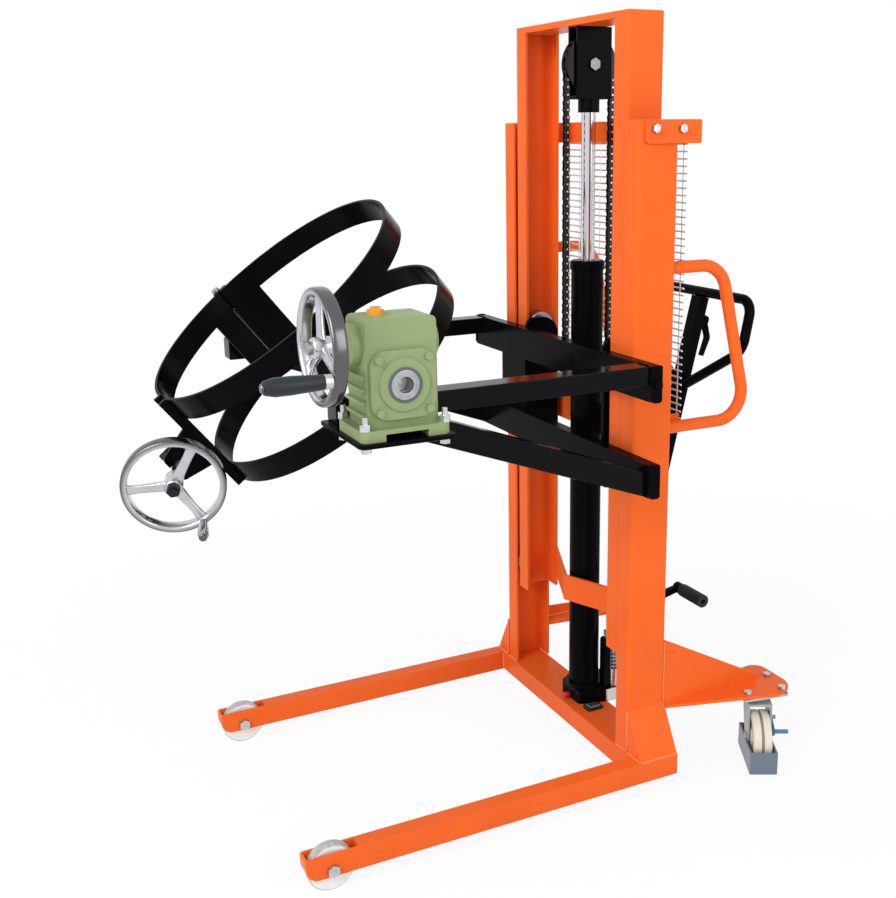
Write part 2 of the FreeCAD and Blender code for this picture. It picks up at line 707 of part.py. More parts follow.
def crosshead():
    """Yoke on the rod's head: socket, two side plates and the sheave's pin."""
    top = INNER_TOP - TOP_PLATE
    front, back = CYL_Y - YOKE_FRONT, CYL_Y + YOKE_BACK
    outline = [(front, YOKE_BASE, 5), (back, YOKE_BASE, 5), (back, top, 0), (front, top, 0)]
    plate = prism(outline, "X", YOKE_HALF - YOKE_T, YOKE_HALF)
    floor = box(-YOKE_HALF, YOKE_HALF, front, back, YOKE_BASE, YOKE_BASE + 8)
    socket = bar_z(0, CYL_Y, YOKE_BASE - 28, YOKE_BASE, ROD_R + 8).cut(bar_z(0, CYL_Y, 0, YOKE_BASE, ROD_R))
    pin = bar_x(-YOKE_HALF, YOKE_HALF, CYL_Y, SHEAVE_Z, STUB_R)
    head = hexagon("X", V(YOKE_HALF, CYL_Y, SHEAVE_Z), 24, 8)
    return join([plate, mirror(plate), floor, socket, pin, head])


def chain_sheave():
    wide = YOKE_HALF - YOKE_T - 2
    groove = SHEAVE_R - CHAIN_T / 2 - 0.3
    lip = CHAIN_W / 2 + 1
    rim = SHEAVE_R + CHAIN_T / 2
    profile = [(STUB_R + RUN, -wide), (rim, -wide), (rim, -lip - 1), (groove, -lip)]
    profile += [(r, -h) for r, h in reversed(profile)]
    return turned(profile, "X", V(0, CYL_Y, SHEAVE_Z))


def chain_strand(y, low):
    """Upright run of chain from an anchor to the sheave: wide and narrow links in turn."""
    links = int((SHEAVE_Z - low) / CHAIN_PITCH)
    pitch = (SHEAVE_Z - low) / links
    edge = []
    for i in range(links):
        half = CHAIN_W / 2 if i % 2 == 0 else CHAIN_W / 2 - 2.5
        edge += [(half, low + i * pitch, 0), (half, low + (i + 1) * pitch, 0)]
    left = [(-x, z, r) for x, z, r in reversed(edge)]
    return prism(edge + left, "Y", y - CHAIN_T / 2, y + CHAIN_T / 2)


def chain_wrap():
    """Half turn of chain over the sheave."""
    low, high = SHEAVE_R - CHAIN_T / 2, SHEAVE_R + CHAIN_T / 2
    count = int(math.pi * SHEAVE_R / CHAIN_PITCH)
    step = 180.0 / count
    middle = V(0, CYL_Y, SHEAVE_Z)
    solids = []
    for i in range(count):
        half = CHAIN_W / 2 if i % 2 == 0 else CHAIN_W / 2 - 2.5
        section = [(-half, CYL_Y + low, 0), (half, CYL_Y + low, 0), (half, CYL_Y + high, 0)]
        section += [(-half, CYL_Y + high, 0)]
        link = face(section, "Z", SHEAVE_Z).revolve(middle, AXIS["X"], step)
        link.rotate(middle, AXIS["X"], i * step)
        solids.append(link)
    return join(solids)


def carriage_beam(low, high):
    """Cross member of the carriage with its end caps."""
    wall = BEAM_WALL
    outer = box(-CAR_HALF, CAR_HALF, CAR_FRONT, CAR_BACK, low, high)
    inner = box(-CAR_HALF, CAR_HALF, CAR_FRONT + wall, CAR_BACK - wall, low + wall, high - wall)
    edge = CAP_OVER
    outline = [(CAR_FRONT - edge, low - edge, 12), (CAR_BACK, low - edge, 6), (CAR_BACK, high + edge, 6)]
    outline += [(CAR_FRONT - edge, high + edge, 12)]
    cap = prism(outline, "X", CAR_HALF, CAR_HALF + CAP_T)
    return join([outer.cut(inner), cap, mirror(cap)])


def carriage_upper_beam():
    strand_y = CYL_Y - SHEAVE_R
    anchor = box(-CHAIN_W, CHAIN_W, CAR_BACK, strand_y + CHAIN_T / 2, UPPER_Z + 20, UPPER_TOP - 8)
    bolt = hexagon("X", V(CAR_HALF + CAP_T, (CAR_FRONT + CAR_BACK) / 2, UPPER_Z + UPPER_H / 2), 17, 8)
    return join([carriage_beam(UPPER_Z, UPPER_TOP), anchor, bolt, mirror(bolt)])


def carriage_side_plates():
    """Plates behind the beams that carry the rollers on stub axles; the far one has a front flange."""
    back = INNER_D / 2 - INNER_T - 5
    outline = [(CAR_BACK, SIDE_LOW, 10), (back, SIDE_LOW, 30)]
    outline += [(back, SIDE_TOP, 45), (CAR_BACK, SIDE_TOP, 20)]
    plate = prism(outline, "X", SIDE_X, SIDE_X + SIDE_T)
    stubs = [bar_x(SIDE_X, INNER_OUT - INNER_T - 3, 0, z, STUB_R) for z in (CAR_ROLLER_LOW, CAR_ROLLER_TOP)]
    right = join([plate] + stubs)
    flange = box(-MAST_OUT - 3, -SIDE_X, CAR_BACK - BRACKET_T, CAR_BACK, LOWER_Z + LOWER_H, UPPER_Z)
    return Part.makeCompound([right, join([mirror(right), flange])])


def arm_tube():
    """Right arm of the yoke, open against the upper beam."""
    wall = BEAM_WALL
    outer = box(ARM_IN, CAR_HALF, ARM_FRONT, CAR_FRONT, ARM_BASE, UPPER_TOP)
    return outer.cut(box(ARM_IN + wall, CAR_HALF - wall, ARM_FRONT + wall, CAR_FRONT,
                         ARM_BASE + wall, UPPER_TOP - wall))


def arm_brace():
    """Right sloping brace from under the arm's front end down to the lower beam."""
    low = LOWER_Z + 1
    slope = (PLATE_BASE - low - BRACE_H) / (CAR_FRONT - BRACE_Y)
    side = [(BRACE_Y - BRACE_H / slope, PLATE_BASE, 0), (BRACE_Y, PLATE_BASE, 0)]
    side += [(CAR_FRONT, low + BRACE_H, 0), (CAR_FRONT, low, 0)]
    wall = BEAM_WALL
    inside, outside = ARM_IN + BRACE_IN, CAR_HALF - BRACE_IN
    core = face(side, "X", inside + wall).makeOffset2D(-wall)
    return prism(side, "X", inside, outside).cut(core.extrude(V(outside - inside - 2 * wall, 0, 0)))


def far_arm():
    """Left arm and brace with the packing plate between them."""
    packing = box(ARM_IN, CAR_HALF, ARM_FRONT, BRACE_Y, PLATE_BASE, ARM_BASE)
    return mirror(join([arm_tube(), packing, arm_brace()]))


def foot_plate():
    """Plate under the near arm that carries the gearbox."""
    edge = BOX_OUT + FOOT_REACH + 10
    reach = BOX_D / 2 + FOOT_REACH + 8
    front, back = PIVOT_Y - reach, PIVOT_Y + reach
    outline = [(ARM_IN, front, 8), (edge, front, 14), (edge, back, 14), (CAR_HALF, back, 0)]
    outline += [(CAR_HALF, BRACE_Y, 0), (ARM_IN, BRACE_Y, 0)]
    return prism(outline, "Z", PLATE_BASE, ARM_BASE)


def gearbox_housing():
    """Cast housing: body, arched foot, worm tunnel and ribs, hollow for the wheel and the worm."""
    low = ARM_BASE + FOOT_H
    reach = FOOT_REACH
    front, back = PIVOT_Y - BOX_D / 2, PIVOT_Y + BOX_D / 2
    side = [(front, low, 0), (back, low, 0), (back, BOX_TOP, BOX_ROUND), (front, BOX_TOP, BOX_ROUND)]
    body = prism(side, "X", BOX_IN, BOX_OUT)
    outline = [(BOX_IN - reach, front - reach, 12), (BOX_OUT + reach, front - reach, 12)]
    outline += [(BOX_OUT + reach, back + reach, 12), (BOX_IN - reach, back + reach, 12)]
    arch = box(BOX_IN - reach, BOX_OUT + reach, front - reach + FOOT_PAD, back + reach - FOOT_PAD,
               ARM_BASE, ARM_BASE + FOOT_ARCH)
    tunnel = bar_y(BOX_MID, front - reach, back + TUNNEL_OUT, WORM_Z, WORM_R + 15)
    solids = [body, prism(outline, "Z", ARM_BASE, low).cut(arch), tunnel]
    for i in range(4):
        z = low + 18 + 22 * i
        rib = box(BOX_IN + 6, BOX_OUT - 6, front - 8, front, z, z + 6)
        solids += [rib]
    cavity = bar_x(BOX_IN + 12, BOX_OUT - 12, PIVOT_Y, PIVOT_Z, WORM_WHEEL_R + 9)
    chamber = bar_y(BOX_MID, front + 13, back - 13, WORM_Z, WORM_R + 3)
    hollow = bar_x(BOX_IN, BOX_OUT, PIVOT_Y, PIVOT_Z, HOLLOW_R + RUN)
    worm_bore = bar_y(BOX_MID, front - reach, back, WORM_Z, WORM_SHAFT_R + RUN)
    return join(solids).cut(join([cavity, chamber, hollow, worm_bore]))


def gearbox_cover():
    """Square cover on the outer face with a raised ring round the shaft."""
    half = COVER_SIZE / 2
    outline = [(PIVOT_Y - half, PIVOT_Z - half, 30), (PIVOT_Y + half, PIVOT_Z - half, 30)]
    outline += [(PIVOT_Y + half, PIVOT_Z + half, 30), (PIVOT_Y - half, PIVOT_Z + half, 30)]
    plate = prism(outline, "X", BOX_OUT, BOX_OUT + COVER_T)
    ring = bar_x(BOX_OUT + COVER_T, BOX_OUT + COVER_T + 5, PIVOT_Y, PIVOT_Z, HOLLOW_R + 19)
    bore = bar_x(BOX_OUT, BOX_OUT + 50, PIVOT_Y, PIVOT_Z, HOLLOW_R + RUN)
    return join([plate, ring]).cut(bore)


def gearbox_bolts():
    """Foot bolts and cover bolts of the gearbox, and its oil plug."""
    solids = [oil_plug()]
    low = ARM_BASE + FOOT_H
    out = FOOT_REACH / 2
    for x in (BOX_IN - out, BOX_OUT + out):
        for y in (PIVOT_Y - BOX_D / 2 - out, PIVOT_Y + BOX_D / 2 + out):
            stud = bar_z(x, y, low, low + 24, PIN_R)
            solids.append(join([hexagon("Z", V(x, y, low), 2 * out, 12), stud]))
            solids.append(hexagon("Z", V(x, y, PLATE_BASE), 2 * out, -10))
    reach = COVER_SIZE / 2 - 14
    for y in (-reach, reach):
        for z in (-reach, reach):
            solids.append(hexagon("X", V(BOX_OUT + COVER_T, PIVOT_Y + y, PIVOT_Z + z), 13, 6))
    return Part.makeCompound(solids)


def oil_plug():
    x, y = BOX_MID - 8, PIVOT_Y - 24
    return join([bar_z(x, y, BOX_TOP, BOX_TOP + 8, 15), hexagon("Z", V(x, y, BOX_TOP + 8), 17, 5)])


def pillow_block():
    """Bearing of the far pivot, on top of the far arm."""
    mid = -(ARM_IN + ARM_W / 2)
    half = ARM_W / 2 - 4
    foot = box(mid - half, mid + half, PIVOT_Y - 62, PIVOT_Y + 62, UPPER_TOP, UPPER_TOP + 16)
    web = [(PIVOT_Y - 44, UPPER_TOP, 0), (PIVOT_Y + 44, UPPER_TOP, 0), (PIVOT_Y + 30, PIVOT_Z, 0)]
    web += [(PIVOT_Y - 30, PIVOT_Z, 0)]
    post = prism(web, "X", mid - half + 4, mid + half - 4)
    ring = bar_x(mid - half, mid + half, PIVOT_Y, PIVOT_Z, STUB_SHAFT_R + 18)
    bore = bar_x(mid - ARM_W, mid + ARM_W, PIVOT_Y, PIVOT_Z, STUB_SHAFT_R + RUN)
    return join([foot, post, ring]).cut(bore)


def worm_shaft():
    front, back = PIVOT_Y - BOX_D / 2, PIVOT_Y + BOX_D / 2
    shaft = bar_y(BOX_MID, WORM_WHEEL_Y - 26, back - 2, WORM_Z, WORM_SHAFT_R)
    return join([shaft, bar_y(BOX_MID, front + 20, back - 20, WORM_Z, WORM_R)])


def worm_wheel():
    """Wheel on its hollow output shaft, inside the housing."""
    hollow = bar_x(BOX_IN - 12, BOX_OUT + COVER_T + 7, PIVOT_Y, PIVOT_Z, HOLLOW_R)
    wheel = bar_x(BOX_MID - 17, BOX_MID + 17, PIVOT_Y, PIVOT_Z, WORM_WHEEL_R)
    bore = bar_x(BOX_IN - 12, BOX_OUT + 50, PIVOT_Y, PIVOT_Z, SHAFT_R + RUN)
    return join([hollow, wheel]).cut(bore)


def handwheel(first_spoke, hub_low, hub_high, bore, handle):
    """Three-spoked wheel about the X axis, rim in the plane x = 0, with a headed stud for its handle."""
    inner, outer = HANDWHEEL_R - RIM_T, HANDWHEEL_R + RIM_T
    section = [(-RIM_HALF, inner, RIM_ROUND), (RIM_HALF, inner, RIM_ROUND)]
    section += [(RIM_HALF, outer, RIM_ROUND), (-RIM_HALF, outer, RIM_ROUND)]
    rim = face(section, "Z", 0).revolve(V(0, 0, 0), AXIS["X"], 360)
    solids = [rim, bar_x(hub_low, hub_high, 0, 0, HUB_R)]
    for i in range(3):
        turn = math.radians(first_spoke + 120 * i)
        way = V(0, math.cos(turn), math.sin(turn))
        solids.append(Part.makeCylinder(SPOKE_R, HANDWHEEL_R - HUB_R / 2, way * (HUB_R / 2), way))
    stud = handle_place(first_spoke)
    tip = RIM_HALF + handle + 2 * FACE_GAP
    solids.append(bar_x(0, tip + 4, stud.y, stud.z, PIN_R))
    solids.append(bar_x(tip, tip + 4, stud.y, stud.z, PIN_R + 3))
    return join(solids).cut(bar_x(hub_low, hub_high, 0, 0, bore))


def handle_place(angle):
    turn = math.radians(angle)
    return V(0, HANDWHEEL_R * math.cos(turn), HANDWHEEL_R * math.sin(turn))


def turning_handle(angle, length, thin, thick):
    """Loose sleeve on a handwheel's stud, swelling towards its end."""
    bore = PIN_R + RUN
    start = RIM_HALF + FACE_GAP
    profile = [(bore, 0), (thin, 0), (thin, 6), (thick, length * 0.6), (thick, length * 0.85)]
    profile += [(thick - 4, length), (bore, length)]
    return turned(profile, "X", V(start, 0, 0) + handle_place(angle))


def on_worm(shape):
    """Turn a handwheel drawn about X so that its handle side faces -Y on the worm shaft."""
    out = shape.copy()
    out.rotate(V(0, 0, 0), AXIS["Z"], -90)
    out.translate(V(BOX_MID, WORM_WHEEL_Y, WORM_Z))
    return out


def on_bolt(shape):
    """Set a piece drawn along X from the swing bolt's eye on the tilted cage, swung out."""
    out = shape.copy()
    out.rotate(V(0, 0, 0), AXIS["Z"], -BOLT_SWING)
    out.translate(V(EYE_X, -CLAMP_OUT, 0))
    return tilted(out)


def on_clamp(shape):
    """Set a handwheel drawn about X on the swing bolt."""
    out = shape.copy()
    out.translate(V(CLAMP_LEN, 0, 0))
    return on_bolt(out)


def tilted(shape):
    """Bring a piece of the upright cage to its place on the carriage."""
    out = shape.copy()
    out.rotate(V(0, 0, 0), AXIS["X"], TILT)
    out.translate(V(0, PIVOT_Y, PIVOT_Z))
    return out


def sector(inner, outer, start, end, low, high):
    """Piece of a ring about Z between two angles from +X."""
    ring = Part.makeCylinder(outer, high - low, V(0, 0, low), AXIS["Z"], end - start)
    ring = ring.cut(bar_z(0, 0, low, high, inner))
    ring.rotate(V(0, 0, 0), AXIS["Z"], start)
    return ring


def polar(r, angle):
    turn = math.radians(angle)
    return r * math.cos(turn), r * math.sin(turn)


def hoops(start, end):
    return [sector(HOOP_IN, HOOP_R, start, end, low, low + HOOP_W) for low in (HOOP_LOW, -HOOP_TOP)]


def end_bar(x):
    """Bar that joins both hoops at the clamp, from the drum side outwards."""
    bar = box(x, x + BAR_T, -HOOP_R - BAR_OUT, -HOOP_IN + 20, -HOOP_TOP, HOOP_TOP)
    return bar.cut(bar_z(0, 0, -HOOP_TOP, HOOP_TOP, PLATE_IN))


def knuckles(inner_side, bore):
    """Hinge knuckles on both hoops: the gate's lie between the cage's."""
    x, y = polar(HINGE_R, HINGE_ANGLE)
    half = HOOP_W / 2
    solids = []
    for sign in (1, -1):
        span = (HOOP_LOW, HOOP_LOW + half - FACE_GAP) if inner_side else (HOOP_LOW + half, HOOP_TOP)
        low, high = sorted((sign * span[0], sign * span[1]))
        start = HINGE_ANGLE + 0.8 if inner_side else HINGE_ANGLE - 4.5
        leaf = sector(HOOP_R - 0.5, HINGE_R, start, start + 3.7, low, high)
        knuckle = join([bar_z(x, y, low, high, KNUCKLE_R), leaf])
        solids.append(knuckle.cut(bar_z(x, y, low, high, bore)))
    return solids


def drum_cage():
    """Fixed part of the cage: two hoops, pivot plates with bosses, clamp bar with its slotted lug."""
    gap = math.degrees(math.asin((CAGE_BAR_X + BAR_T / 2) / HOOP_R))
    solids = hoops(gap - 90, HINGE_ANGLE - 0.5)
    for middle in (0, 180):
        spread = math.degrees(math.asin(PLATE_HALF / HOOP_R))
        solids.append(sector(PLATE_IN, HOOP_R, middle - spread, middle + spread, -HOOP_LOW, HOOP_LOW))
    boss = bar_x(HOOP_IN - 5, BOSS_OUT, 0, 0, BOSS_R).cut(bar_z(0, 0, -BOSS_R, BOSS_R, PLATE_IN))
    solids += [boss, mirror(boss), end_bar(CAGE_BAR_X)]
    lug_edge = -HOOP_R - BAR_OUT
    lug = [(lug_edge, -48, 0), (-LUG_OUT, -30, 12), (-LUG_OUT, 30, 12), (lug_edge, 48, 0)]
    slot = CLAMP_R + 1
    reach = CAGE_BAR_X + BAR_T / 2 - EYE_X
    floor = slot - CLAMP_OUT - reach * math.tan(math.radians(BOLT_CLOSED))
    mouth = box(CAGE_BAR_X, CAGE_BAR_X + BAR_T, -LUG_OUT - 5, floor, -slot, slot)
    solids.append(prism(lug, "X", CAGE_BAR_X, CAGE_BAR_X + BAR_T).cut(mouth))
    return tilted(join(solids + knuckles(False, PIN_R)))


def hinge_pin():
    x, y = polar(HINGE_R, HINGE_ANGLE)
    pin = bar_z(x, y, -HOOP_TOP - 6, HOOP_TOP, PIN_R)
    return tilted(join([pin, bar_z(x, y, HOOP_TOP, HOOP_TOP + 8, KNUCKLE_R - 1)]))


def drum_gate():
    """Hinged part of the cage with its own strap and the fork for the swing bolt."""
    end = 270 + math.degrees(math.asin((GATE_BAR_X + BAR_T / 2) / HOOP_R))
    solids = hoops(HINGE_ANGLE + 0.5, end)
    solids.append(sector(PLATE_IN, HOOP_R, HINGE_ANGLE + 1, HINGE_ANGLE + 11.5, -HOOP_LOW, HOOP_LOW))
    solids.append(end_bar(GATE_BAR_X))
    lug_edge = -HOOP_R - BAR_OUT
    wall = EYE_HALF + FACE_GAP
    front = EYE_X + EYE_R + 3
    ear = [(GATE_BAR_X, lug_edge, 0), (GATE_BAR_X, -LUG_OUT, 6), (front, -LUG_OUT, 8)]
    ear += [(front, lug_edge - 20, 8), (GATE_BAR_X + BAR_T, lug_edge, 0)]
    for low in (wall, -wall - EAR_T):
        solids.append(prism(ear, "Z", low, low + EAR_T))
    solids.append(bar_z(EYE_X, -CLAMP_OUT, -wall - EAR_T - 4, wall + EAR_T + 4, PIN_R))
    return tilted(join(solids + knuckles(True, PIN_R + RUN)))


def pivot_shafts():
    """Near shaft through the gearbox, and far stub in the pillow block."""
    near = join([bar_x(BOSS_OUT, BOX_IN - 14, PIVOT_Y, PIVOT_Z, STUB_SHAFT_R),
                 bar_x(BOSS_OUT, BOX_OUT - 10, PIVOT_Y, PIVOT_Z, SHAFT_R)])
    far = bar_x(-CAR_HALF - 4, -BOSS_OUT, PIVOT_Y, PIVOT_Z, STUB_SHAFT_R)
    return [near, far]


def clamp_bolt():
    """Swing bolt with its eye, and the washer and end nut that keep the handwheel on."""
    low = CLAMP_LEN - 0.6 * CLAMP_HUB_L
    high = low + CLAMP_HUB_L
    eye = bar_z(0, 0, -EYE_HALF, EYE_HALF, EYE_R)
    shank = bar_x(0, high + 14, 0, 0, CLAMP_R)
    washer = bar_x(low - 6, low - FACE_GAP, 0, 0, HUB_R)
    nut = hexagon("X", V(high + FACE_GAP, 0, 0), 24, 10)
    solid = join([eye, shank, washer, nut])
    return on_bolt(solid.cut(bar_z(0, 0, -EYE_HALF, EYE_HALF, PIN_R + RUN)))


def upright(shape):
    """Lean a piece of the tiller, drawn upright on its pivot, to its rest angle."""
    out = shape.copy()
    out.rotate(V(0, 0, 0), AXIS["X"], -TILLER_LEAN)
    out.translate(V(0, TILLER_Y, TILLER_Z))
    return out


def tiller():
    """Stem with a hub at its foot and a loop handle at its head."""
    half = STEM_W / 2
    hub = bar_x(-half, half, 0, 0, 16)
    stem = box(-half, half, -STEM_D / 2, STEM_D / 2, 0, TILLER_LEN - LOOP_R)
    low = TILLER_LEN - 236
    right = [(LOOP_HALF, TILLER_LEN - 118), (LOOP_HALF - 6, TILLER_LEN)]
    path = [V(half / 2, 0, low)] + [V(x, 0, z) for x, z in right]
    path += [V(-x, 0, z) for x, z in reversed(right)] + [V(-half / 2, 0, low)]
    loop = tube(path, [0, 50, 38, 38, 50, 0], LOOP_R)
    lug = [(STEM_D / 2, TRIGGER_S - 14, 0), (STEM_D / 2 + 20, TRIGGER_S - 8, 6)]
    lug += [(STEM_D / 2 + 20, TRIGGER_S + 8, 6), (STEM_D / 2, TRIGGER_S + 14, 0)]
    ears = [prism(lug, "X", 7, 12), prism(lug, "X", -12, -7)]
    pin = bar_x(-14, 14, STEM_D / 2 + 11, TRIGGER_S, 4)
    solid = join([hub, stem, loop] + ears + [pin])
    return upright(solid.cut(bar_x(-half, half, 0, 0, AXLE_R + RUN)))


def release_trigger():
    """Finger lever behind the stem, under the loop's top bar."""
    y = STEM_D / 2 + 11
    hub = bar_x(-6.5, 6.5, y, TRIGGER_S, 8)
    blade = [(y - 6, TRIGGER_S, 0), (y + 6, TRIGGER_S + 5, 0), (y + 30, TRIGGER_S - 40, 16)]
    blade += [(y + 22, TRIGGER_S - 88, 3), (y + 14, TRIGGER_S - 88, 3), (y + 18, TRIGGER_S - 42, 16)]
    solid = join([hub, prism(blade, "X", -6.5, 6.5)])
    return upright(solid.cut(bar_x(-7, 7, y, TRIGGER_S, 4 + RUN)))


def foot_pedal():
    """Lever over the plunger with a round foot bar."""
    low, high = PUMP_X - PEDAL_T / 2, PUMP_X + PEDAL_T / 2
    nub = PLUNGER_TOP + FACE_GAP
    arm = [(PEDAL_Y, PEDAL_Z - 8, 0), (PUMP_Y - 12, nub, 0), (PUMP_Y + 16, nub, 10)]
    arm += [(GRIP_Y - 50, GRIP_Z - 20, 20), (GRIP_Y, GRIP_Z - 8, 0)]
    arm += [(GRIP_Y, GRIP_Z + 8, 0), (GRIP_Y - 56, GRIP_Z - 2, 20)]
    arm += [(PUMP_Y + 10, PEDAL_Z + 8, 10), (PEDAL_Y, PEDAL_Z + 8, 0)]
    hub = bar_x(low, high, PEDAL_Y, PEDAL_Z, 9)
    grip = bar_x(low, GRIP_END, GRIP_Y, GRIP_Z, GRIP_R)
    solid = join([hub, prism(arm, "X", low, high), grip])
    return solid.cut(bar_x(low, high, PEDAL_Y, PEDAL_Z, PIN_R + RUN))


def pieces():
    """Every node of the assembly under its name."""
    wheel_a = handwheel(WORM_SPOKE, -HUB_BACK, HUB_FRONT, WORM_SHAFT_R, WORM_GRIP_L)
    hub = CLAMP_HUB_L
    wheel_b = handwheel(CLAMP_SPOKE, -0.6 * hub, 0.4 * hub, CLAMP_R + RUN, CLAMP_HANDLE_L)
    out = {
        "leg_right": leg(),
        "leg_left": mirror(leg()),
        "base_crossbeam": crossbeam(),
        "mast_foot_gussets": both(mast_gusset()),
        "outer_mast_right": outer_mast(),
        "outer_mast_left": mirror(outer_mast()),
        "mast_brackets": Part.makeCompound(mast_ties() + guard_brackets()),
        "mesh_guard": mesh_guard(),
        "grab_handles": both(grab_handle()),
        "rear_chassis": rear_chassis(),
        "frame_bolts": frame_bolts(),
        "front_roller_right": front_roller(),
        "front_roller_left": mirror(front_roller()),
        "caster_plates": both(caster_plate()),
        "pump_block": pump_block(),
        "cylinder_tube": cylinder_tube(),
        "cylinder_gland": cylinder_gland(),
        "piston_rod": piston_rod(),
        "pump_plunger": pump_plunger(),
        "pump_spring": pump_spring(),
        "inner_mast_right": inner_mast(),
        "inner_mast_left": mirror(inner_mast()),
        "inner_mast_ties": inner_mast_ties(),
        "mast_rollers": roller_pair(INNER_OUT + 5, MAST_ROLLER_R, MAST_ROLLER_Z),
        "crosshead": crosshead(),
        "chain_sheave": chain_sheave(),
        "lift_chain_front": chain_strand(CYL_Y - SHEAVE_R, UPPER_TOP - 8),
        "lift_chain_rear": chain_strand(CYL_Y + SHEAVE_R, TIE_Z + TIE_H),
        "lift_chain_wrap": chain_wrap(),
        "carriage_upper_beam": carriage_upper_beam(),
        "carriage_lower_beam": carriage_beam(LOWER_Z, LOWER_Z + LOWER_H),
        "carriage_side_plates": carriage_side_plates(),
        "carriage_rollers_upper": roller_pair(INNER_IN + 4, CAR_ROLLER_R, CAR_ROLLER_TOP),
        "carriage_rollers_lower": roller_pair(INNER_IN + 4, CAR_ROLLER_R, CAR_ROLLER_LOW),
        "yoke_arm_right": Part.makeCompound([arm_tube(), arm_brace()]),
        "yoke_arm_left": far_arm(),
        "gearbox_foot_plate": foot_plate(),
        "gearbox_housing": gearbox_housing(),
        "gearbox_cover": gearbox_cover(),
        "gearbox_bolts": gearbox_bolts(),
        "pillow_block": pillow_block(),
        "worm_shaft": worm_shaft(),
        "worm_handwheel": on_worm(wheel_a),
        "worm_grip": on_worm(turning_handle(WORM_SPOKE, WORM_GRIP_L, 12, 15.5)),
        "drum_cage": drum_cage(),
        "cage_shafts": Part.makeCompound(pivot_shafts() + [worm_wheel(), hinge_pin()]),
        "drum_gate": drum_gate(),
        "clamp_bolt": clamp_bolt(),
        "clamp_handwheel": on_clamp(wheel_b),
        "clamp_handle": on_clamp(turning_handle(CLAMP_SPOKE, CLAMP_HANDLE_L, 8, 11)),
        "tiller": tiller(),
        "release_trigger": release_trigger(),
        "foot_pedal": foot_pedal(),
    }
    for name, side in (("right", 1), ("left", -1)):
        out["caster_fork_" + name] = placed_caster(caster_fork(), side)
        out["caster_wheel_" + name] = placed_caster(caster_wheel(), side)
        out["caster_brake_" + name] = placed_caster(caster_brake(), side)
    return out


os.makedirs("parts", exist_ok=True)
for name, shape in pieces().items():
    shape.exportStep("parts/%s.step" % name)
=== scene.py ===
import json
import math

import bmesh
import bpy
import numpy as np
from mathutils import Matrix


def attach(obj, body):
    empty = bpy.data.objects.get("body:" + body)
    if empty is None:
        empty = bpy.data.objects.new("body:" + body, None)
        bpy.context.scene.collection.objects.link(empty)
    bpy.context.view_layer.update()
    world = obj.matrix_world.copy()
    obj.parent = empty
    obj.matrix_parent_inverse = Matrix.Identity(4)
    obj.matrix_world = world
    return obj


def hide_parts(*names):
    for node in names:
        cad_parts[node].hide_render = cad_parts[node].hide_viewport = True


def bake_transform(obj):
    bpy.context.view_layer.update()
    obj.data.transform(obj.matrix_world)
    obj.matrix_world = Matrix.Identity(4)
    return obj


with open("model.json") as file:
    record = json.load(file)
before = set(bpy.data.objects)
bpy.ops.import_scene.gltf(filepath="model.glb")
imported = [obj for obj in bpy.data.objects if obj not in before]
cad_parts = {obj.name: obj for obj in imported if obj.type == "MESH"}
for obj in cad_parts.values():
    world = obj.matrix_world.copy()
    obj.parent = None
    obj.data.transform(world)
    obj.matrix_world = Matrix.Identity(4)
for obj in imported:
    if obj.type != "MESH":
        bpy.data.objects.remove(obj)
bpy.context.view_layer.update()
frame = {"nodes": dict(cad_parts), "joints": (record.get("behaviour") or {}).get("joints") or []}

# Studio
# A plain pale floor under a white sky, a wide soft lamp on the camera's left and a weaker one
# on its right. The camera stands in front of the gearbox side, a little above the clamp.
scene = bpy.context.scene
scene.view_settings.view_transform = "Standard"


def add(tree, kind, inputs, **settings):
    """One shader node: its options, and for each input a value or another node's output."""
    made = tree.nodes.new(kind)
    for key, value in settings.items():
        setattr(made, key, value)
    for key, value in inputs.items():
        if isinstance(value, bpy.types.NodeSocket):
            tree.links.new(value, made.inputs[key])
        else:
            made.inputs[key].default_value = value
    return made


def reckon(tree, operation, *values, **settings):
    """One step of arithmetic in a node tree."""
    return add(tree, "ShaderNodeMath", dict(enumerate(values)), operation=operation, **settings).outputs[0]


def carried(tree, value, found, wanted):
    """A value carried from the range found to the range wanted, and held at its ends."""
    inputs = {0: value, 1: found[0], 2: found[1], 3: wanted[0], 4: wanted[1]}
    return add(tree, "ShaderNodeMapRange", inputs).outputs[0]


def shown_directly(tree):
    """1 where the camera, a mirror or glass sees the surface, and 0 where it only gives light."""
    path = add(tree, "ShaderNodeLightPath", {}).outputs
    direct = reckon(tree, "MAXIMUM", path["Is Camera Ray"], path["Is Glossy Ray"])
    return reckon(tree, "MAXIMUM", direct, path["Is Transmission Ray"])


sky = bpy.data.worlds.new("white_studio")
sky.use_nodes = True
scene.world = sky
tree = sky.node_tree
tree.nodes.clear()
given = add(tree, "ShaderNodeBackground", {"Color": (0.95, 0.97, 1.0, 1.0), "Strength": 0.62}).outputs[0]
seen = add(tree, "ShaderNodeBackground", {"Color": (1.0, 1.0, 1.0, 1.0), "Strength": 1.0}).outputs[0]
mixed = add(tree, "ShaderNodeMixShader", {0: shown_directly(tree), 1: given, 2: seen}).outputs[0]
add(tree, "ShaderNodeOutputWorld", {"Surface": mixed})

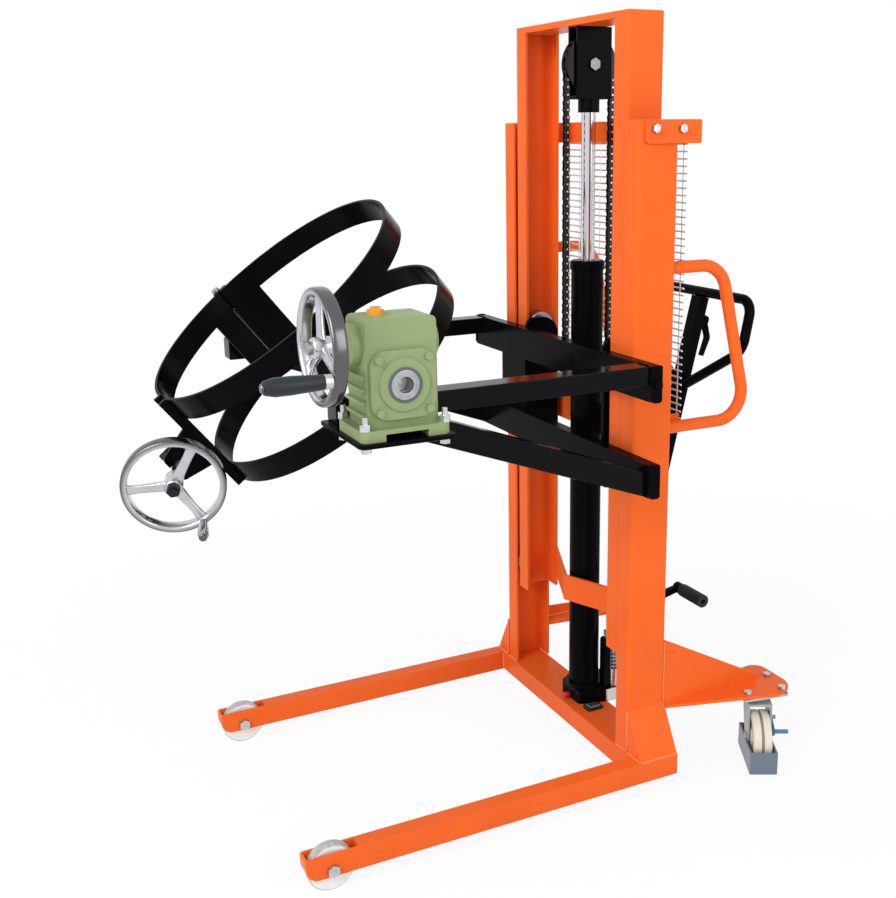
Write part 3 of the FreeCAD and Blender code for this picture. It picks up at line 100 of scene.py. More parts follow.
# The floor shows a tenth of its own shade under the machine, and fades to plain white further out.
floor_reach = 14.0
shade_reach, shade_end, white_share = 0.9, 2.4, 0.90
floor_mesh = bpy.data.meshes.new("floor")
corners = floor_reach * np.array([(-1, -1, 0), (1, -1, 0), (1, 1, 0), (-1, 1, 0)])
floor_mesh.from_pydata(corners.tolist(), [], [(0, 1, 2, 3)])
floor = bpy.data.objects.new("floor", floor_mesh)
scene.collection.objects.link(floor)
pale = bpy.data.materials.new("pale_floor")
pale.use_nodes = True
tree = pale.node_tree
tree.nodes.clear()
lit = add(tree, "ShaderNodeBsdfDiffuse", {"Color": (0.95, 0.95, 0.95, 1.0)}).outputs[0]
white = add(tree, "ShaderNodeEmission", {"Color": (1.0, 1.0, 1.0, 1.0), "Strength": 1.0}).outputs[0]
place = add(tree, "ShaderNodeTexCoord", {}).outputs["Object"]
away = add(tree, "ShaderNodeVectorMath", {0: place}, operation="LENGTH").outputs["Value"]
fade = carried(tree, away, (shade_reach, shade_end), (white_share, 1.0))
share = reckon(tree, "MULTIPLY", shown_directly(tree), fade)
mixed = add(tree, "ShaderNodeMixShader", {0: share, 1: lit, 2: white}).outputs[0]
add(tree, "ShaderNodeOutputMaterial", {"Surface": mixed})
floor_mesh.materials.append(pale)


def stand(name, data, place, axes):
    """Lamp or camera at a place, turned so that its right, top and back follow three directions."""
    made = bpy.data.objects.new(name, data)
    scene.collection.objects.link(made)
    made.matrix_world = Matrix.Translation(place) @ Matrix(np.column_stack(axes).tolist()).to_4x4()
    return made


def soft_lamp(name, place, aim, size, power):
    """Square lamp at a place, turned towards a point."""
    lamp = bpy.data.lights.new(name, "AREA")
    lamp.size = size
    lamp.energy = power
    back = np.subtract(place, aim) / np.linalg.norm(np.subtract(place, aim))
    right = np.cross((0, 0, 1), back) / np.linalg.norm(np.cross((0, 0, 1), back))
    stand(name, lamp, place, (right, np.cross(back, right), back))


soft_lamp("key_lamp", place=(1.6, -3.6, 3.2), aim=(0.0, -0.3, 0.8), size=2.6, power=125.0)
soft_lamp("side_lamp", place=(3.8, 0.9, 2.4), aim=(0.0, -0.2, 0.8), size=2.2, power=46.0)

# The focal length and the point where the camera's axis meets the picture are in pixels.
image_wide, image_high = 896, 898
focal_length = 1163.0
sight_x, sight_y = 498.5, 434.7
camera_place = (2.3143, -1.3897, 1.4647)
azimuth, height, roll = np.radians((63.24, 14.50, -0.60))
lens = bpy.data.cameras.new("camera")
lens.lens = focal_length * lens.sensor_width / image_high
lens.shift_x = (image_wide / 2 - sight_x) / image_high
lens.shift_y = (sight_y - image_high / 2) / image_high
outward = np.array([math.sin(azimuth), -math.cos(azimuth), 0.0])
level = np.array([math.cos(azimuth), math.sin(azimuth), 0.0])
back = math.cos(height) * outward + math.sin(height) * np.array([0.0, 0.0, 1.0])
upward = np.cross(back, level)
right = math.cos(roll) * level + math.sin(roll) * upward
top = math.cos(roll) * upward - math.sin(roll) * level
scene.camera = stand("camera", lens, camera_place, (right, top, back))


# Floor frame
# Two fork legs and a crossbeam of square tube, welded together, with wedge gussets up to the
# mast. All of it is steel with an orange powder coat.
def fresh_material(name):
    """New material: itself, its node tree, its shader and the place of each shaded point."""
    material = bpy.data.materials.new(name)
    material.use_nodes = True
    tree = material.node_tree
    place = add(tree, "ShaderNodeTexCoord", {}).outputs["Object"]
    return material, tree, tree.nodes["Principled BSDF"], place


def cloud(tree, place, scale, detail, rough=0.5):
    """Cloudy noise between 0 and 1."""
    inputs = {"Vector": place, "Scale": scale, "Detail": detail, "Roughness": rough}
    return add(tree, "ShaderNodeTexNoise", inputs).outputs[0]


def shaded(tree, colour, shade):
    """Colour made darker or lighter by a factor."""
    return add(tree, "ShaderNodeVectorMath", {0: colour, 3: shade}, operation="SCALE").outputs[0]


def between(tree, share, first, second):
    """Colour between two colours, by a share from 0 to 1."""
    return add(tree, "ShaderNodeMix", {0: share, 6: first, 7: second}, data_type="RGBA").outputs[2]


def lay_on(tree, skin, colour, gloss, grain, strength, depth):
    """Lead a colour, a roughness and a grain, as bump of a strength and depth, into a shader."""
    bump = add(tree, "ShaderNodeBump", {"Strength": strength, "Distance": depth, "Height": grain})
    tree.links.new(colour, skin.inputs["Base Color"])
    tree.links.new(gloss, skin.inputs["Roughness"])
    tree.links.new(bump.outputs[0], skin.inputs["Normal"])


# Cloudy noise keeps mostly to this range.
cloud_range = (0.3, 0.7)
grime_height, peel_depth = 0.15, 0.0006


def coated_steel(name, colour, rough, shine, grime, peel=0.12):
    """Coat on steel: slow drift of shade, fine orange peel as bump, uneven gloss, dull spots, and
    grime that is thickest at the floor and thins out upwards."""
    material, tree, skin, place = fresh_material(name)
    drift = cloud(tree, place, scale=5.0, detail=4.0)
    tint = shaded(tree, colour, carried(tree, drift, cloud_range, (0.93, 1.05)))
    rub = cloud(tree, place, scale=38.0, detail=9.0, rough=0.68)
    spots = carried(tree, rub, (0.66, 0.78), (0.0, 0.35))
    tall = add(tree, "ShaderNodeSeparateXYZ", {0: place}).outputs["Z"]
    low = carried(tree, tall, (0.0, grime_height), (grime, 0.0))
    dirt = reckon(tree, "ADD", reckon(tree, "MULTIPLY", low, rub), spots, use_clamp=True)
    dull = tuple(0.45 * value + 0.004 for value in colour)
    gloss = carried(tree, rub, (0.3, 0.75), (rough - 0.05, rough + 0.12))
    grain = cloud(tree, place, scale=420.0, detail=2.0)
    lay_on(tree, skin, between(tree, dirt, tint, (*dull, 1.0)), gloss, grain, peel, peel_depth)
    skin.inputs["Specular IOR Level"].default_value = shine
    return material


def smooth_by_angle(angle):
    """Node group that shades faces smooth and keeps edges sharper than the angle sharp."""
    tree = bpy.data.node_groups.new("smooth_round_faces", "GeometryNodeTree")
    tree.interface.new_socket("Geometry", in_out="INPUT", socket_type="NodeSocketGeometry")
    tree.interface.new_socket("Geometry", in_out="OUTPUT", socket_type="NodeSocketGeometry")
    start = tree.nodes.new("NodeGroupInput")
    end = tree.nodes.new("NodeGroupOutput")
    faces = add(tree, "GeometryNodeSetShadeSmooth", {0: start.outputs[0]}, domain="FACE")
    bend = add(tree, "GeometryNodeInputMeshEdgeAngle", {})
    mild = add(tree, "FunctionNodeCompare", {0: bend.outputs[0], 1: angle}, operation="LESS_THAN")
    inputs = {0: faces.outputs[0], 2: mild.outputs[0]}
    edges = add(tree, "GeometryNodeSetShadeSmooth", inputs, domain="EDGE")
    tree.links.new(edges.outputs[0], end.inputs[0])
    return tree


same_point = 2e-6
bevelled_from = math.radians(42)
round_faces = smooth_by_angle(math.radians(38))


def dress(names, material, edge, steps=2, flatness=0.6):
    """Give CAD nodes a material, and round their edges: the triangles are merged, faces that are
    flat to the given degrees joined, edges bevelled to the given width and round faces shaded
    smooth."""
    for name in names:
        node = frame["nodes"][name]
        node.data.materials.clear()
        node.data.materials.append(material)
        weld = node.modifiers.new("merged", "WELD")
        weld.merge_threshold = same_point
        flat = node.modifiers.new("flat_faces", "DECIMATE")
        flat.decimate_type = "DISSOLVE"
        flat.angle_limit = math.radians(flatness)
        if edge > 0:
            bevel = node.modifiers.new("rounded_edges", "BEVEL")
            bevel.width = edge
            bevel.segments = steps
            bevel.limit_method = "ANGLE"
            bevel.angle_limit = bevelled_from
        rounded = node.modifiers.new("smooth_faces", "NODES")
        rounded.node_group = round_faces
        even = node.modifiers.new("even_shading", "WEIGHTED_NORMAL")
        even.keep_sharp = True


# Pieces with open, C-shaped faces have only faces joined that are flat to this many degrees.
open_flatness = 0.02
orange = coated_steel("orange_powder_coat", (0.90, 0.138, 0.019), rough=0.32, shine=0.10, grime=0.5)
dress(["leg_right", "leg_left"], orange, edge=0.0035, steps=3)
dress(["base_crossbeam"], orange, edge=0.0035, steps=3, flatness=open_flatness)
dress(["mast_foot_gussets"], orange, edge=0.002)


def lay_mesh(name, points, quads, caps, material, crease=35.0):
    """Piece from points, four-cornered faces and end caps, with its faces turned outwards."""
    mesh = bpy.data.meshes.new(name)
    loops = np.concatenate([quads.ravel()] + [cap.ravel() for cap in caps]).astype(np.int32)
    sizes = np.concatenate([np.full(len(quads), 4)] + [np.full(len(cap), cap.shape[1]) for cap in caps])
    starts = np.concatenate([[0], np.cumsum(sizes)[:-1]]).astype(np.int32)
    mesh.vertices.add(len(points))
    mesh.vertices.foreach_set("co", np.ascontiguousarray(points, np.float32).ravel())
    mesh.loops.add(len(loops))
    mesh.loops.foreach_set("vertex_index", loops)
    mesh.polygons.add(len(sizes))
    mesh.polygons.foreach_set("loop_start", starts)
    mesh.update(calc_edges=True)
    skin = bmesh.new()
    skin.from_mesh(mesh)
    bmesh.ops.recalc_face_normals(skin, faces=skin.faces)
    skin.to_mesh(mesh)
    skin.free()
    mesh.polygons.foreach_set("use_smooth", np.ones(len(sizes), bool))
    mesh.set_sharp_from_angle(angle=math.radians(crease))
    mesh.materials.append(material)
    piece = bpy.data.objects.new(name, mesh)
    scene.collection.objects.link(piece)
    return piece


def shell(grid, ring=False):
    """Closed shell over a grid of points whose rows run round: faces between neighbouring points.
    The last row joins the first where they make a ring, and otherwise both rows are capped."""
    rows, columns = grid.shape[:2]
    i, j = np.meshgrid(np.arange(rows if ring else rows - 1), np.arange(columns), indexing="ij")
    i_next, j_next = (i + 1) % rows, (j + 1) % columns
    corners = [i * columns + j, i * columns + j_next, i_next * columns + j_next, i_next * columns + j]
    around = np.arange(columns)
    caps = [] if ring else [around[None, ::-1], (around + (rows - 1) * columns)[None, :]]
    return grid.reshape(-1, 3), np.stack(corners, -1).reshape(-1, 4), caps


def shells(parts):
    """Several closed shells (points, quads, caps) put together as one set of points and faces."""
    points, quads, caps, count = [], [], [], 0
    for spots, faces, ends in parts:
        points.append(spots)
        quads.append(faces + count)
        caps += [end + count for end in ends]
        count += len(spots)
    return np.concatenate(points), np.concatenate(quads), caps


def full_turn(count):
    """Angles in even steps round a circle."""
    return np.linspace(0.0, 2 * math.pi, count, endpoint=False)


def across(way):
    """A direction at length 1, and two directions square to it and to each other."""
    way = np.asarray(way, float) / np.linalg.norm(way)
    first = np.cross(way, (1.0, 0.0, 0.0) if abs(way[0]) < 0.9 else (0.0, 1.0, 0.0))
    first /= np.linalg.norm(first)
    return way, first, np.cross(way, first)


def bar_shell(start, end, radii, sides=10):
    """Round bar from start to end: ring k lies at the share k / (n - 1) of the way and has radius
    radii[k]; the point at angle a is centre + r cos a + r sin a in the two cross directions."""
    start, end = np.asarray(start, float), np.asarray(end, float)
    _, first, second = across(end - start)
    share = np.linspace(0.0, 1.0, len(radii))[:, None, None]
    turn = full_turn(sides)[None, :, None]
    ring = np.cos(turn) * first + np.sin(turn) * second
    return shell(start + share * (end - start) + np.asarray(radii, float)[:, None, None] * ring)


def weld_bead(start, end, size):
    """Bead along a straight seam: a bar that tapers over its last millimetres, and whose radius
    swells and shrinks by an eighth with every ripple. Its ends are taken to 0.01 mm."""
    ripple, step, taper, tip, swell = 0.005, 0.00125, 0.003, 0.35, 0.12
    start, end = np.round((start, end), 5)
    length = np.linalg.norm(np.subtract(end, start))
    along = np.linspace(0.0, length, max(4, int(length / step)))
    rise = np.minimum(1.0, np.minimum(along, length - along) / taper + tip)
    radii = size * rise * (1.0 + swell * np.sin(along * 2 * math.pi / ripple))
    return bar_shell(start, end, radii, sides=8)


def mirrored(lines):
    """Seams of the right side and their mirror images."""
    return lines + [tuple((-x, y, z) for x, y, z in line) for line in lines]


def box_of(name):
    """Lowest and highest corner of a CAD node, to a hundredth of a millimetre."""
    mesh = frame["nodes"][name].data
    spots = np.empty(3 * len(mesh.vertices), np.float32)
    mesh.vertices.foreach_get("co", spots)
    spots = spots.reshape(-1, 3).astype(float)
    return np.round(spots.min(0), 5), np.round(spots.max(0), 5)


(leg_inner, _, tube_bottom), (_, _, tube_top) = box_of("leg_right")
(_, beam_front, _), (_, beam_back, _) = box_of("base_crossbeam")
(mast_inner, mast_front, _), (mast_outer, mast_back, _) = box_of("outer_mast_right")
gusset_foot, gusset_edge, gusset_top, rear_seam_top = 0.352, 0.353, 0.188, 0.165
# Beads end a little before the next bead, and those of the mast a little further off.
bead_gap, mast_gap = 0.002, 0.003
seams = [((leg_inner, beam_front, tube_bottom + bead_gap), (leg_inner, beam_front, tube_top - bead_gap)),
         ((leg_inner, beam_front + bead_gap, tube_top), (leg_inner, beam_back, tube_top)),
         ((mast_outer, mast_front, tube_top + mast_gap), (mast_outer, mast_front, gusset_top)),
         ((mast_outer + bead_gap, mast_front, tube_top), (gusset_foot, mast_front, tube_top)),
         ((mast_outer, mast_back, tube_top + mast_gap), (mast_outer, mast_back, rear_seam_top)),
         ((mast_inner + mast_gap, mast_front, tube_top), (mast_outer - mast_gap, mast_front, tube_top)),
         ((gusset_edge, mast_front + bead_gap, tube_top), (gusset_edge, mast_back - bead_gap, tube_top))]
# The beads are a lighter orange than the coat: a painted highlight along the seams.
bead_coat_painted_highlight = coated_steel("orange_weld_painted_highlight", (0.95, 0.22, 0.06), rough=0.22, shine=0.5, grime=0.2)
beads = [weld_bead(*line, size=0.0026) for line in mirrored(seams)]
frame_welds = lay_mesh("frame_welds", *shells(beads), bead_coat_painted_highlight)
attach(frame_welds, "base")


# Front rollers and bolts
# Load rollers of turned white nylon with a ground tread, on zinc bolts through the leg tips.
# The same zinc bolts hold the guard brackets and the caster plates.
def away_from(tree, place, point, counted=(1.0, 1.0, 1.0)):
    """Distance of the shaded place from a point, along the counted axes alone."""
    flat = add(tree, "ShaderNodeVectorMath", {0: place, 1: counted}, operation="MULTIPLY").outputs[0]
    middle = tuple(np.multiply(point, counted))
    return add(tree, "ShaderNodeVectorMath", {0: flat, 1: middle}, operation="DISTANCE").outputs["Value"]


def moulded_nylon(name, colour, tread, radius, centre):
    """Nylon with a dirty tread: the tread's colour sets in where the distance from the axle, which
    runs along x through the centre, comes within 4 mm of the radius. Its sine gives fine turning
    marks as bump."""
    dirt_starts, dirt_full, mark_rate = 0.004, 0.0015, 4500.0
    material, tree, skin, place = fresh_material(name)
    away = away_from(tree, place, centre, (0.0, 1.0, 1.0))
    worn = carried(tree, away, (radius - dirt_starts, radius - dirt_full), (0.0, 1.0))
    smear = cloud(tree, place, scale=70.0, detail=6.0)
    share = reckon(tree, "MULTIPLY", worn, carried(tree, smear, cloud_range, (0.55, 1.0)))
    gloss = carried(tree, smear, cloud_range, (0.32, 0.5))
    marks = reckon(tree, "SINE", reckon(tree, "MULTIPLY", away, mark_rate))
    mixed = between(tree, share, (*colour, 1.0), (*tread, 1.0))
    lay_on(tree, skin, mixed, gloss, marks, strength=0.1, depth=0.0002)
    return material


def plated_steel(name, colour, rough, grain, scale=90.0):
    """Bare or plated metal: cloudy plating in colour and gloss, and a fine grain as bump."""
    material, tree, skin, place = fresh_material(name)
    plating = cloud(tree, place, scale, detail=5.0)
    tint = shaded(tree, colour, carried(tree, plating, cloud_range, (0.82, 1.08)))
    gloss = carried(tree, plating, cloud_range, (rough, rough + 0.15))
    lay_on(tree, skin, tint, gloss, cloud(tree, place, scale=900.0, detail=3.0), grain, depth=0.0003)
    skin.inputs["Metallic"].default_value = 1.0
    return material


def joint_of(name):
    """Place of a joint and the direction of its axis."""
    joint = next(joint for joint in frame["joints"] if joint["name"] == name)
    return np.array(joint["pos_m"], float), np.array(joint["axis"], float)


roller_middle, _ = joint_of("front_roller_spin_right")
roller_radius = float(roller_middle[2])
tread_grey = (0.34, 0.34, 0.33)
white_nylon = moulded_nylon("white_nylon", (0.80, 0.80, 0.77), tread_grey, roller_radius, roller_middle)
dress(["front_roller_right", "front_roller_left"], white_nylon, edge=0.001)
zinc_grey = (0.56, 0.57, 0.60)
zinc = plated_steel("zinc_plate", zinc_grey, rough=0.22, grain=0.15)
dress(["frame_bolts"], zinc, edge=0.0008)

# Outer mast
# Two rolled channels stand on the crossbeam and face each other. A bent crossbar behind their
# tops, a tie half way up, the grab handles and the chassis plate are welded or bolted to them.
dress(["outer_mast_right", "outer_mast_left"], orange, edge=0.0028, steps=3)
dress(["mast_brackets"], orange, edge=0.0012)
dress(["grab_handles"], orange, edge=0.0)
dress(["rear_chassis"], orange, edge=0.0018)


def ring_shell(centre, axis, radius, thick, turns=40, sides=8):
    """Torus: the point at angles a, b lies at centre + (R + r cos b) (cos a, sin a) + r sin b along
    the axis."""
    way, first, second = across(axis)
    a = full_turn(turns)[:, None, None]
    b = full_turn(sides)[None, :, None]
    out = np.cos(a) * first + np.sin(a) * second
    grid = np.asarray(centre) + (radius + thick * np.cos(b)) * out + thick * np.sin(b) * way
    return shell(grid, ring=True)


handle_x, handle_ends, handle_radius = 0.270, (1.186, 0.836), 0.0142
deck_top, deck_end = 0.178, 0.318
panel_inner, panel_outer, panel_top, lip_top = 0.285, 0.2912, 0.336, 0.204
tie_end, tie_face, tie_low, tie_high = 0.195, 0.058, 0.765, 0.838
seam_foot, bead_size = deck_top + 0.004, 0.0024
deck_seam, lip_seam = panel_inner - mast_gap, panel_inner - 0.0002
collars = [ring_shell((side * handle_x, mast_back, z), (0, 1, 0), handle_radius, bead_size)
           for side in (1, -1) for z in handle_ends]
seams = mirrored([((mast_inner + mast_gap, mast_back, deck_top), (deck_seam, mast_back, deck_top)),
                  ((lip_seam, mast_back + bead_gap, deck_top), (lip_seam, deck_end, deck_top)),
                  ((tie_end, tie_face, tie_low), (tie_end, tie_face, tie_high))])
seams += [((x, mast_back, seam_foot), (x, mast_back, panel_top)) for x in (panel_inner, panel_outer)]
seams += [((-panel_inner, mast_back, seam_foot), (-panel_inner, mast_back, lip_top))]
beads = collars + [weld_bead(*line, bead_size) for line in seams]
# These beads carry the same lighter orange, a painted highlight along the seams.
mast_welds = lay_mesh("mast_welds", *shells(beads), bead_coat_painted_highlight)
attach(mast_welds, "base")

# Wire guard
# A net of galvanised wires keeps hands out of the mast. Level wires 15 mm apart are welded across
# upright ones, and the net hangs on the crossbar and two tabs.
wire_coat = plated_steel("galvanised_wire", (0.74, 0.75, 0.77), rough=0.34, grain=0.1)
guard_half, guard_low, guard_pitch, guard_rows = 0.250, 0.8320, 0.0152, 41
level_y, level_radius = 0.1045, 0.0020
upright_y, upright_radius, upright_count = 0.1028, 0.0013, 11
upright_inset, upright_tail = 0.012, 0.004
levels = guard_low + guard_pitch * np.arange(guard_rows)
uprights = np.linspace(-guard_half + upright_inset, guard_half - upright_inset, upright_count)
wires = [bar_shell((-guard_half, level_y, z), (guard_half, level_y, z), [level_radius] * 2, sides=8)
         for z in levels]
wires += [bar_shell((x, upright_y, levels[0] - upright_tail), (x, upright_y, levels[-1] + upright_tail),
                    [upright_radius] * 2, sides=6) for x in uprights]
wire_guard = lay_mesh("wire_guard", *shells(wires), wire_coat)
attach(wire_guard, "base")
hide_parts("mesh_guard")


# Casters
# Swivel casters under the corners of the chassis: pressed forks in grey enamel with a blue-grey
# toe guard box round the wheel, cream nylon wheels with a darker stripe in the groove, blue brake levers.
def place_in(material):
    """Node tree of a material, and the shaded place as a vector and as its three numbers."""
    tree = material.node_tree
    place = add(tree, "ShaderNodeTexCoord", {}).outputs["Object"]
    return tree, place, add(tree, "ShaderNodeSeparateXYZ", {0: place}).outputs


def repaint(material, share, colour, bare=False):
    """Lay another colour over a material's own by a share from 0 to 1, as bare metal if asked."""
    tree = material.node_tree
    skin = tree.nodes["Principled BSDF"]
    own = skin.inputs["Base Color"].links[0].from_socket
    tree.links.new(between(tree, share, own, (*colour, 1.0)), skin.inputs["Base Color"])
    if bare:
        tree.links.new(share, skin.inputs["Metallic"])


guard_top = 0.0585
fork_enamel = coated_steel("grey_enamel", (0.36, 0.385, 0.38), rough=0.30, shine=0.45, grime=0.3)
tree, _, spot = place_in(fork_enamel)
repaint(fork_enamel, reckon(tree, "LESS_THAN", spot["Z"], guard_top), (0.13, 0.175, 0.215))
dress(["caster_fork_right", "caster_fork_left"], fork_enamel, edge=0.0012)
brake_coat = coated_steel("blue_brake_coat", (0.07, 0.19, 0.34), rough=0.34, shine=0.4, grime=0.3)
dress(["caster_brake_right", "caster_brake_left"], brake_coat, edge=0.001)
dress(["caster_plates"], zinc, edge=0.001)

groove_half = 0.0034
for side in ("right", "left"):
    wheel_middle, axle = joint_of("caster_wheel_spin_" + side)
    cream = coated_steel("cream_nylon_" + side, (0.76, 0.71, 0.58), rough=0.42, shine=0.4, grime=0.45)
    tree, place, _ = place_in(cream)
    along = add(tree, "ShaderNodeVectorMath", {0: place, 1: tuple(axle)}, operation="DOT_PRODUCT")
    middle = float(np.dot(axle, wheel_middle))
    is_groove = reckon(tree, "COMPARE", along.outputs["Value"], middle, groove_half)
    # The wheel is painted a darker brown-grey within the groove's width.
    repaint(cream, is_groove, (0.26, 0.22, 0.18))
    dress(["caster_wheel_" + side], cream, edge=0.0015)

# Lift cylinder and pump
# A black enamelled cylinder with a chromed rod stands in a cast block, which has a red plug and a
# milled side. The pump beside it is bare metal, and a coil spring pushes its plunger up. A rubber
# stop pad lies in front.
black_shade = (0.003, 0.003, 0.004)
black = coated_steel("black_enamel", black_shade, rough=0.16, shine=0.022, grime=0.15)
pump_x, pump_y, barrel_radius = 0.042, 0.074, 0.0182
barrel_foot, milled_side = 0.1185, 0.0628
pump_coat = coated_steel("black_block_bare_pump", black_shade, rough=0.24, shine=0.05, grime=0.15)
tree, place, spot = place_in(pump_coat)
from_pump = away_from(tree, place, (pump_x, pump_y, 0.0), (1.0, 1.0, 0.0))
near = reckon(tree, "LESS_THAN", from_pump, barrel_radius)
above = reckon(tree, "GREATER_THAN", spot["Z"], barrel_foot)
is_milled = reckon(tree, "GREATER_THAN", spot["X"], milled_side)
is_bare = reckon(tree, "MAXIMUM", reckon(tree, "MULTIPLY", near, above), is_milled)
repaint(pump_coat, is_bare, (0.62, 0.63, 0.65), bare=True)
dress(["pump_block"], pump_coat, edge=0.002)
dress(["cylinder_tube", "cylinder_gland"], black, edge=0.0015)
chrome = plated_steel("hard_chrome", (0.66, 0.67, 0.69), rough=0.05, grain=0.0, scale=3.0)
dress(["piston_rod"], chrome, edge=0.0)
machined = plated_steel("machined_steel", (0.42, 0.42, 0.43), rough=0.28, grain=0.2)
dress(["pump_plunger"], machined, edge=0.0008)


def coil_shell(x, y, low, high, turns, radius, wire, sides=10, steps=230):
    """Coil spring: a round wire along a helix about an upright axis. The first and last 0.6 turns
    climb little, as a ground spring's do; every turn takes its share of a last small part."""
    flat_turns, little = 0.6, 0.07
    share = np.linspace(0.0, 1.0, steps)
    turn = share * turns * 2 * math.pi
    climb = np.clip((share * turns - flat_turns) / (turns - 2 * flat_turns), 0.0, 1.0)
    lift = low + (high - low) * ((1 - little) * climb + little * share)
    line = np.column_stack([x + radius * np.cos(turn), y + radius * np.sin(turn), lift])
    forward = np.gradient(line, axis=0)
    forward /= np.linalg.norm(forward, axis=1)[:, None]
    outward = np.column_stack([np.cos(turn), np.sin(turn), np.zeros_like(turn)])
    upright = np.cross(forward, outward)[:, None, :]
    angle = full_turn(sides)[None, :, None]
    return shell(line[:, None, :] + wire * (np.cos(angle) * outward[:, None, :] + np.sin(angle) * upright))


spring_foot, spring_head, spring_wire, seat_gap = 0.165, 0.210, 0.002, 0.0001
coil_low, coil_high = spring_foot + spring_wire + seat_gap, spring_head - spring_wire - seat_gap
coil = coil_shell(pump_x, pump_y, coil_low, coil_high, turns=5.5, radius=0.013, wire=spring_wire)
return_spring = lay_mesh("return_spring", *coil, zinc)
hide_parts("pump_spring")
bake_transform(return_spring)

red_cap = coated_steel("red_plastic", (0.60, 0.012, 0.016), rough=0.4, shine=0.5, grime=0.1)
plug_root, plug_tip = (0.0, -0.0285, 0.094), (0.0, -0.047, 0.094)
plug_radii = [0.0055, 0.0075, 0.008, 0.008, 0.008, 0.0072, 0.005]
plug = lay_mesh("release_plug", *bar_shell(plug_root, plug_tip, plug_radii, sides=20), red_cap)
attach(plug, "base")


def squared_off(wave, power):
    """Cosine or sine raised to a power with its sign kept; a power under 1 squares off a circle."""
    return np.sign(wave) * np.abs(wave) ** power


def block_shell(low, high, round_off, sides=40):
    """Oblong block between two corners. Its plan is a circle squared off by a power, and the top
    ring is drawn in by round_off."""
    power = 0.25
    low, high = np.asarray(low, float), np.asarray(high, float)
    turn = full_turn(sides)
    plan = np.column_stack([squared_off(np.cos(turn), power), squared_off(np.sin(turn), power)])
    middle, half = (low + high)[:2] / 2, (high - low)[:2] / 2
    levels = [(low[2], 0.0), (high[2] - round_off, 0.0), (high[2], round_off)]
    return shell(np.stack([np.column_stack([middle + plan * (half - draw), np.full(sides, z)])
                           for z, draw in levels]))


stop_rubber = coated_steel("stop_rubber", (0.010, 0.010, 0.011), rough=0.4, shine=0.3, grime=0.0)
pad_shell = block_shell(low=(0.060, -0.028, 0.085), high=(0.090, 0.016, 0.0925), round_off=0.002)
stop_pad = lay_mesh("stop_pad", *pad_shell, stop_rubber)
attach(stop_pad, "base")
plate_shell = block_shell(low=(0.064, -0.021, 0.0915), high=(0.086, 0.009, 0.0945), round_off=0.0008)
stop_plate = lay_mesh("stop_plate", *plate_shell, machined)
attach(stop_plate, "base")

# Moving mast
# Two inner channels run up inside the outer ones on steel rollers. A plate joins their tops and
# a bent tie their feet, where it passes in front of the cylinder.
dress(["inner_mast_right", "inner_mast_left"], orange, edge=0.0028, steps=3)
dress(["inner_mast_ties"], orange, edge=0.0012)
dress(["mast_rollers", "carriage_rollers_upper", "carriage_rollers_lower"], machined, edge=0.001)
(inner_face, inner_front, _), (_, inner_back, _) = box_of("inner_mast_right")
head_plate_low, head_gap = 1.690, 0.0005
seams = [((inner_face, inner_front + head_gap, head_plate_low),
          (inner_face, inner_back - head_gap, head_plate_low))]
beads = [weld_bead(*line, size=0.002) for line in mirrored(seams)]
head_welds = lay_mesh("head_welds", *shells(beads), orange)
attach(head_welds, "inner_mast")

# Crosshead and lift chain
# The rod pushes up a black yoke that carries the chain sheave on a zinc pin. A roller chain runs
# from the carriage over the sheave and down to the fixed tie: plates, pins and rollers of oiled
# steel, the pins' ends coloured light grey as a painted highlight.
cheek_face, socket_top = 0.0203, 1.590
crosshead_coat = coated_steel("black_yoke_zinc_pin", black_shade, rough=0.20, shine=0.05, grime=0.0)
tree, _, spot = place_in(crosshead_coat)
outside = reckon(tree, "GREATER_THAN", spot["X"], cheek_face)
is_head = reckon(tree, "MULTIPLY", outside, reckon(tree, "GREATER_THAN", spot["Z"], socket_top))
repaint(crosshead_coat, is_head, (0.24, 0.245, 0.26), bare=True)
dress(["crosshead"], crosshead_coat, edge=0.0015)
oil_shade = (0.040, 0.040, 0.044)
oiled = plated_steel("oiled_chain", oil_shade, rough=0.24, grain=0.1)
dress(["chain_sheave"], oiled, edge=0.0008)
# Pin ends beyond this distance from the middle are painted light grey, a painted highlight.
pin_highlight_from = 0.00725
chain_steel = plated_steel("oiled_chain_painted_pin_highlights", oil_shade, rough=0.24, grain=0.1)
tree, _, spot = place_in(chain_steel)
is_pin_highlight = reckon(tree, "GREATER_THAN", reckon(tree, "ABSOLUTE", spot["X"]), pin_highlight_from)
repaint(chain_steel, is_pin_highlight, (0.78, 0.78, 0.80))

link_pitch, plate_half, plate_thick = 0.015875, 0.0058, 0.0016
wide_gap, narrow_gap = 0.0055, 0.0037
bush_half, bush_radius = 0.0036, 0.0046
pin_half, pin_radius, pin_tip = 0.0079, 0.0025, 0.0022


def link_plate(x, pitch):
    """Side plate at x: a figure of eight along z whose half width is a circle's at the ends and
    narrows by a quarter half way."""
    end_round, waist, blunt = 0.92, 0.25, 0.0004
    half = pitch / 2 + plate_half * end_round
    z = half * np.cos(np.linspace(0.0, math.pi, 9))
    over = np.clip((np.abs(z) - pitch / 2) / (half - pitch / 2), 0.0, 1.0)
    narrow = 1 - waist * np.cos(np.clip(z / pitch, -0.5, 0.5) * math.pi)
    wide = plate_half * narrow * np.sqrt(1 - over ** 2) + blunt
    outline = np.concatenate([np.column_stack([wide, z]), np.column_stack([-wide, z])[::-1]])
    return shell(np.stack([np.column_stack([np.full(len(outline), level), outline])
                           for level in (x, x + plate_thick)]))


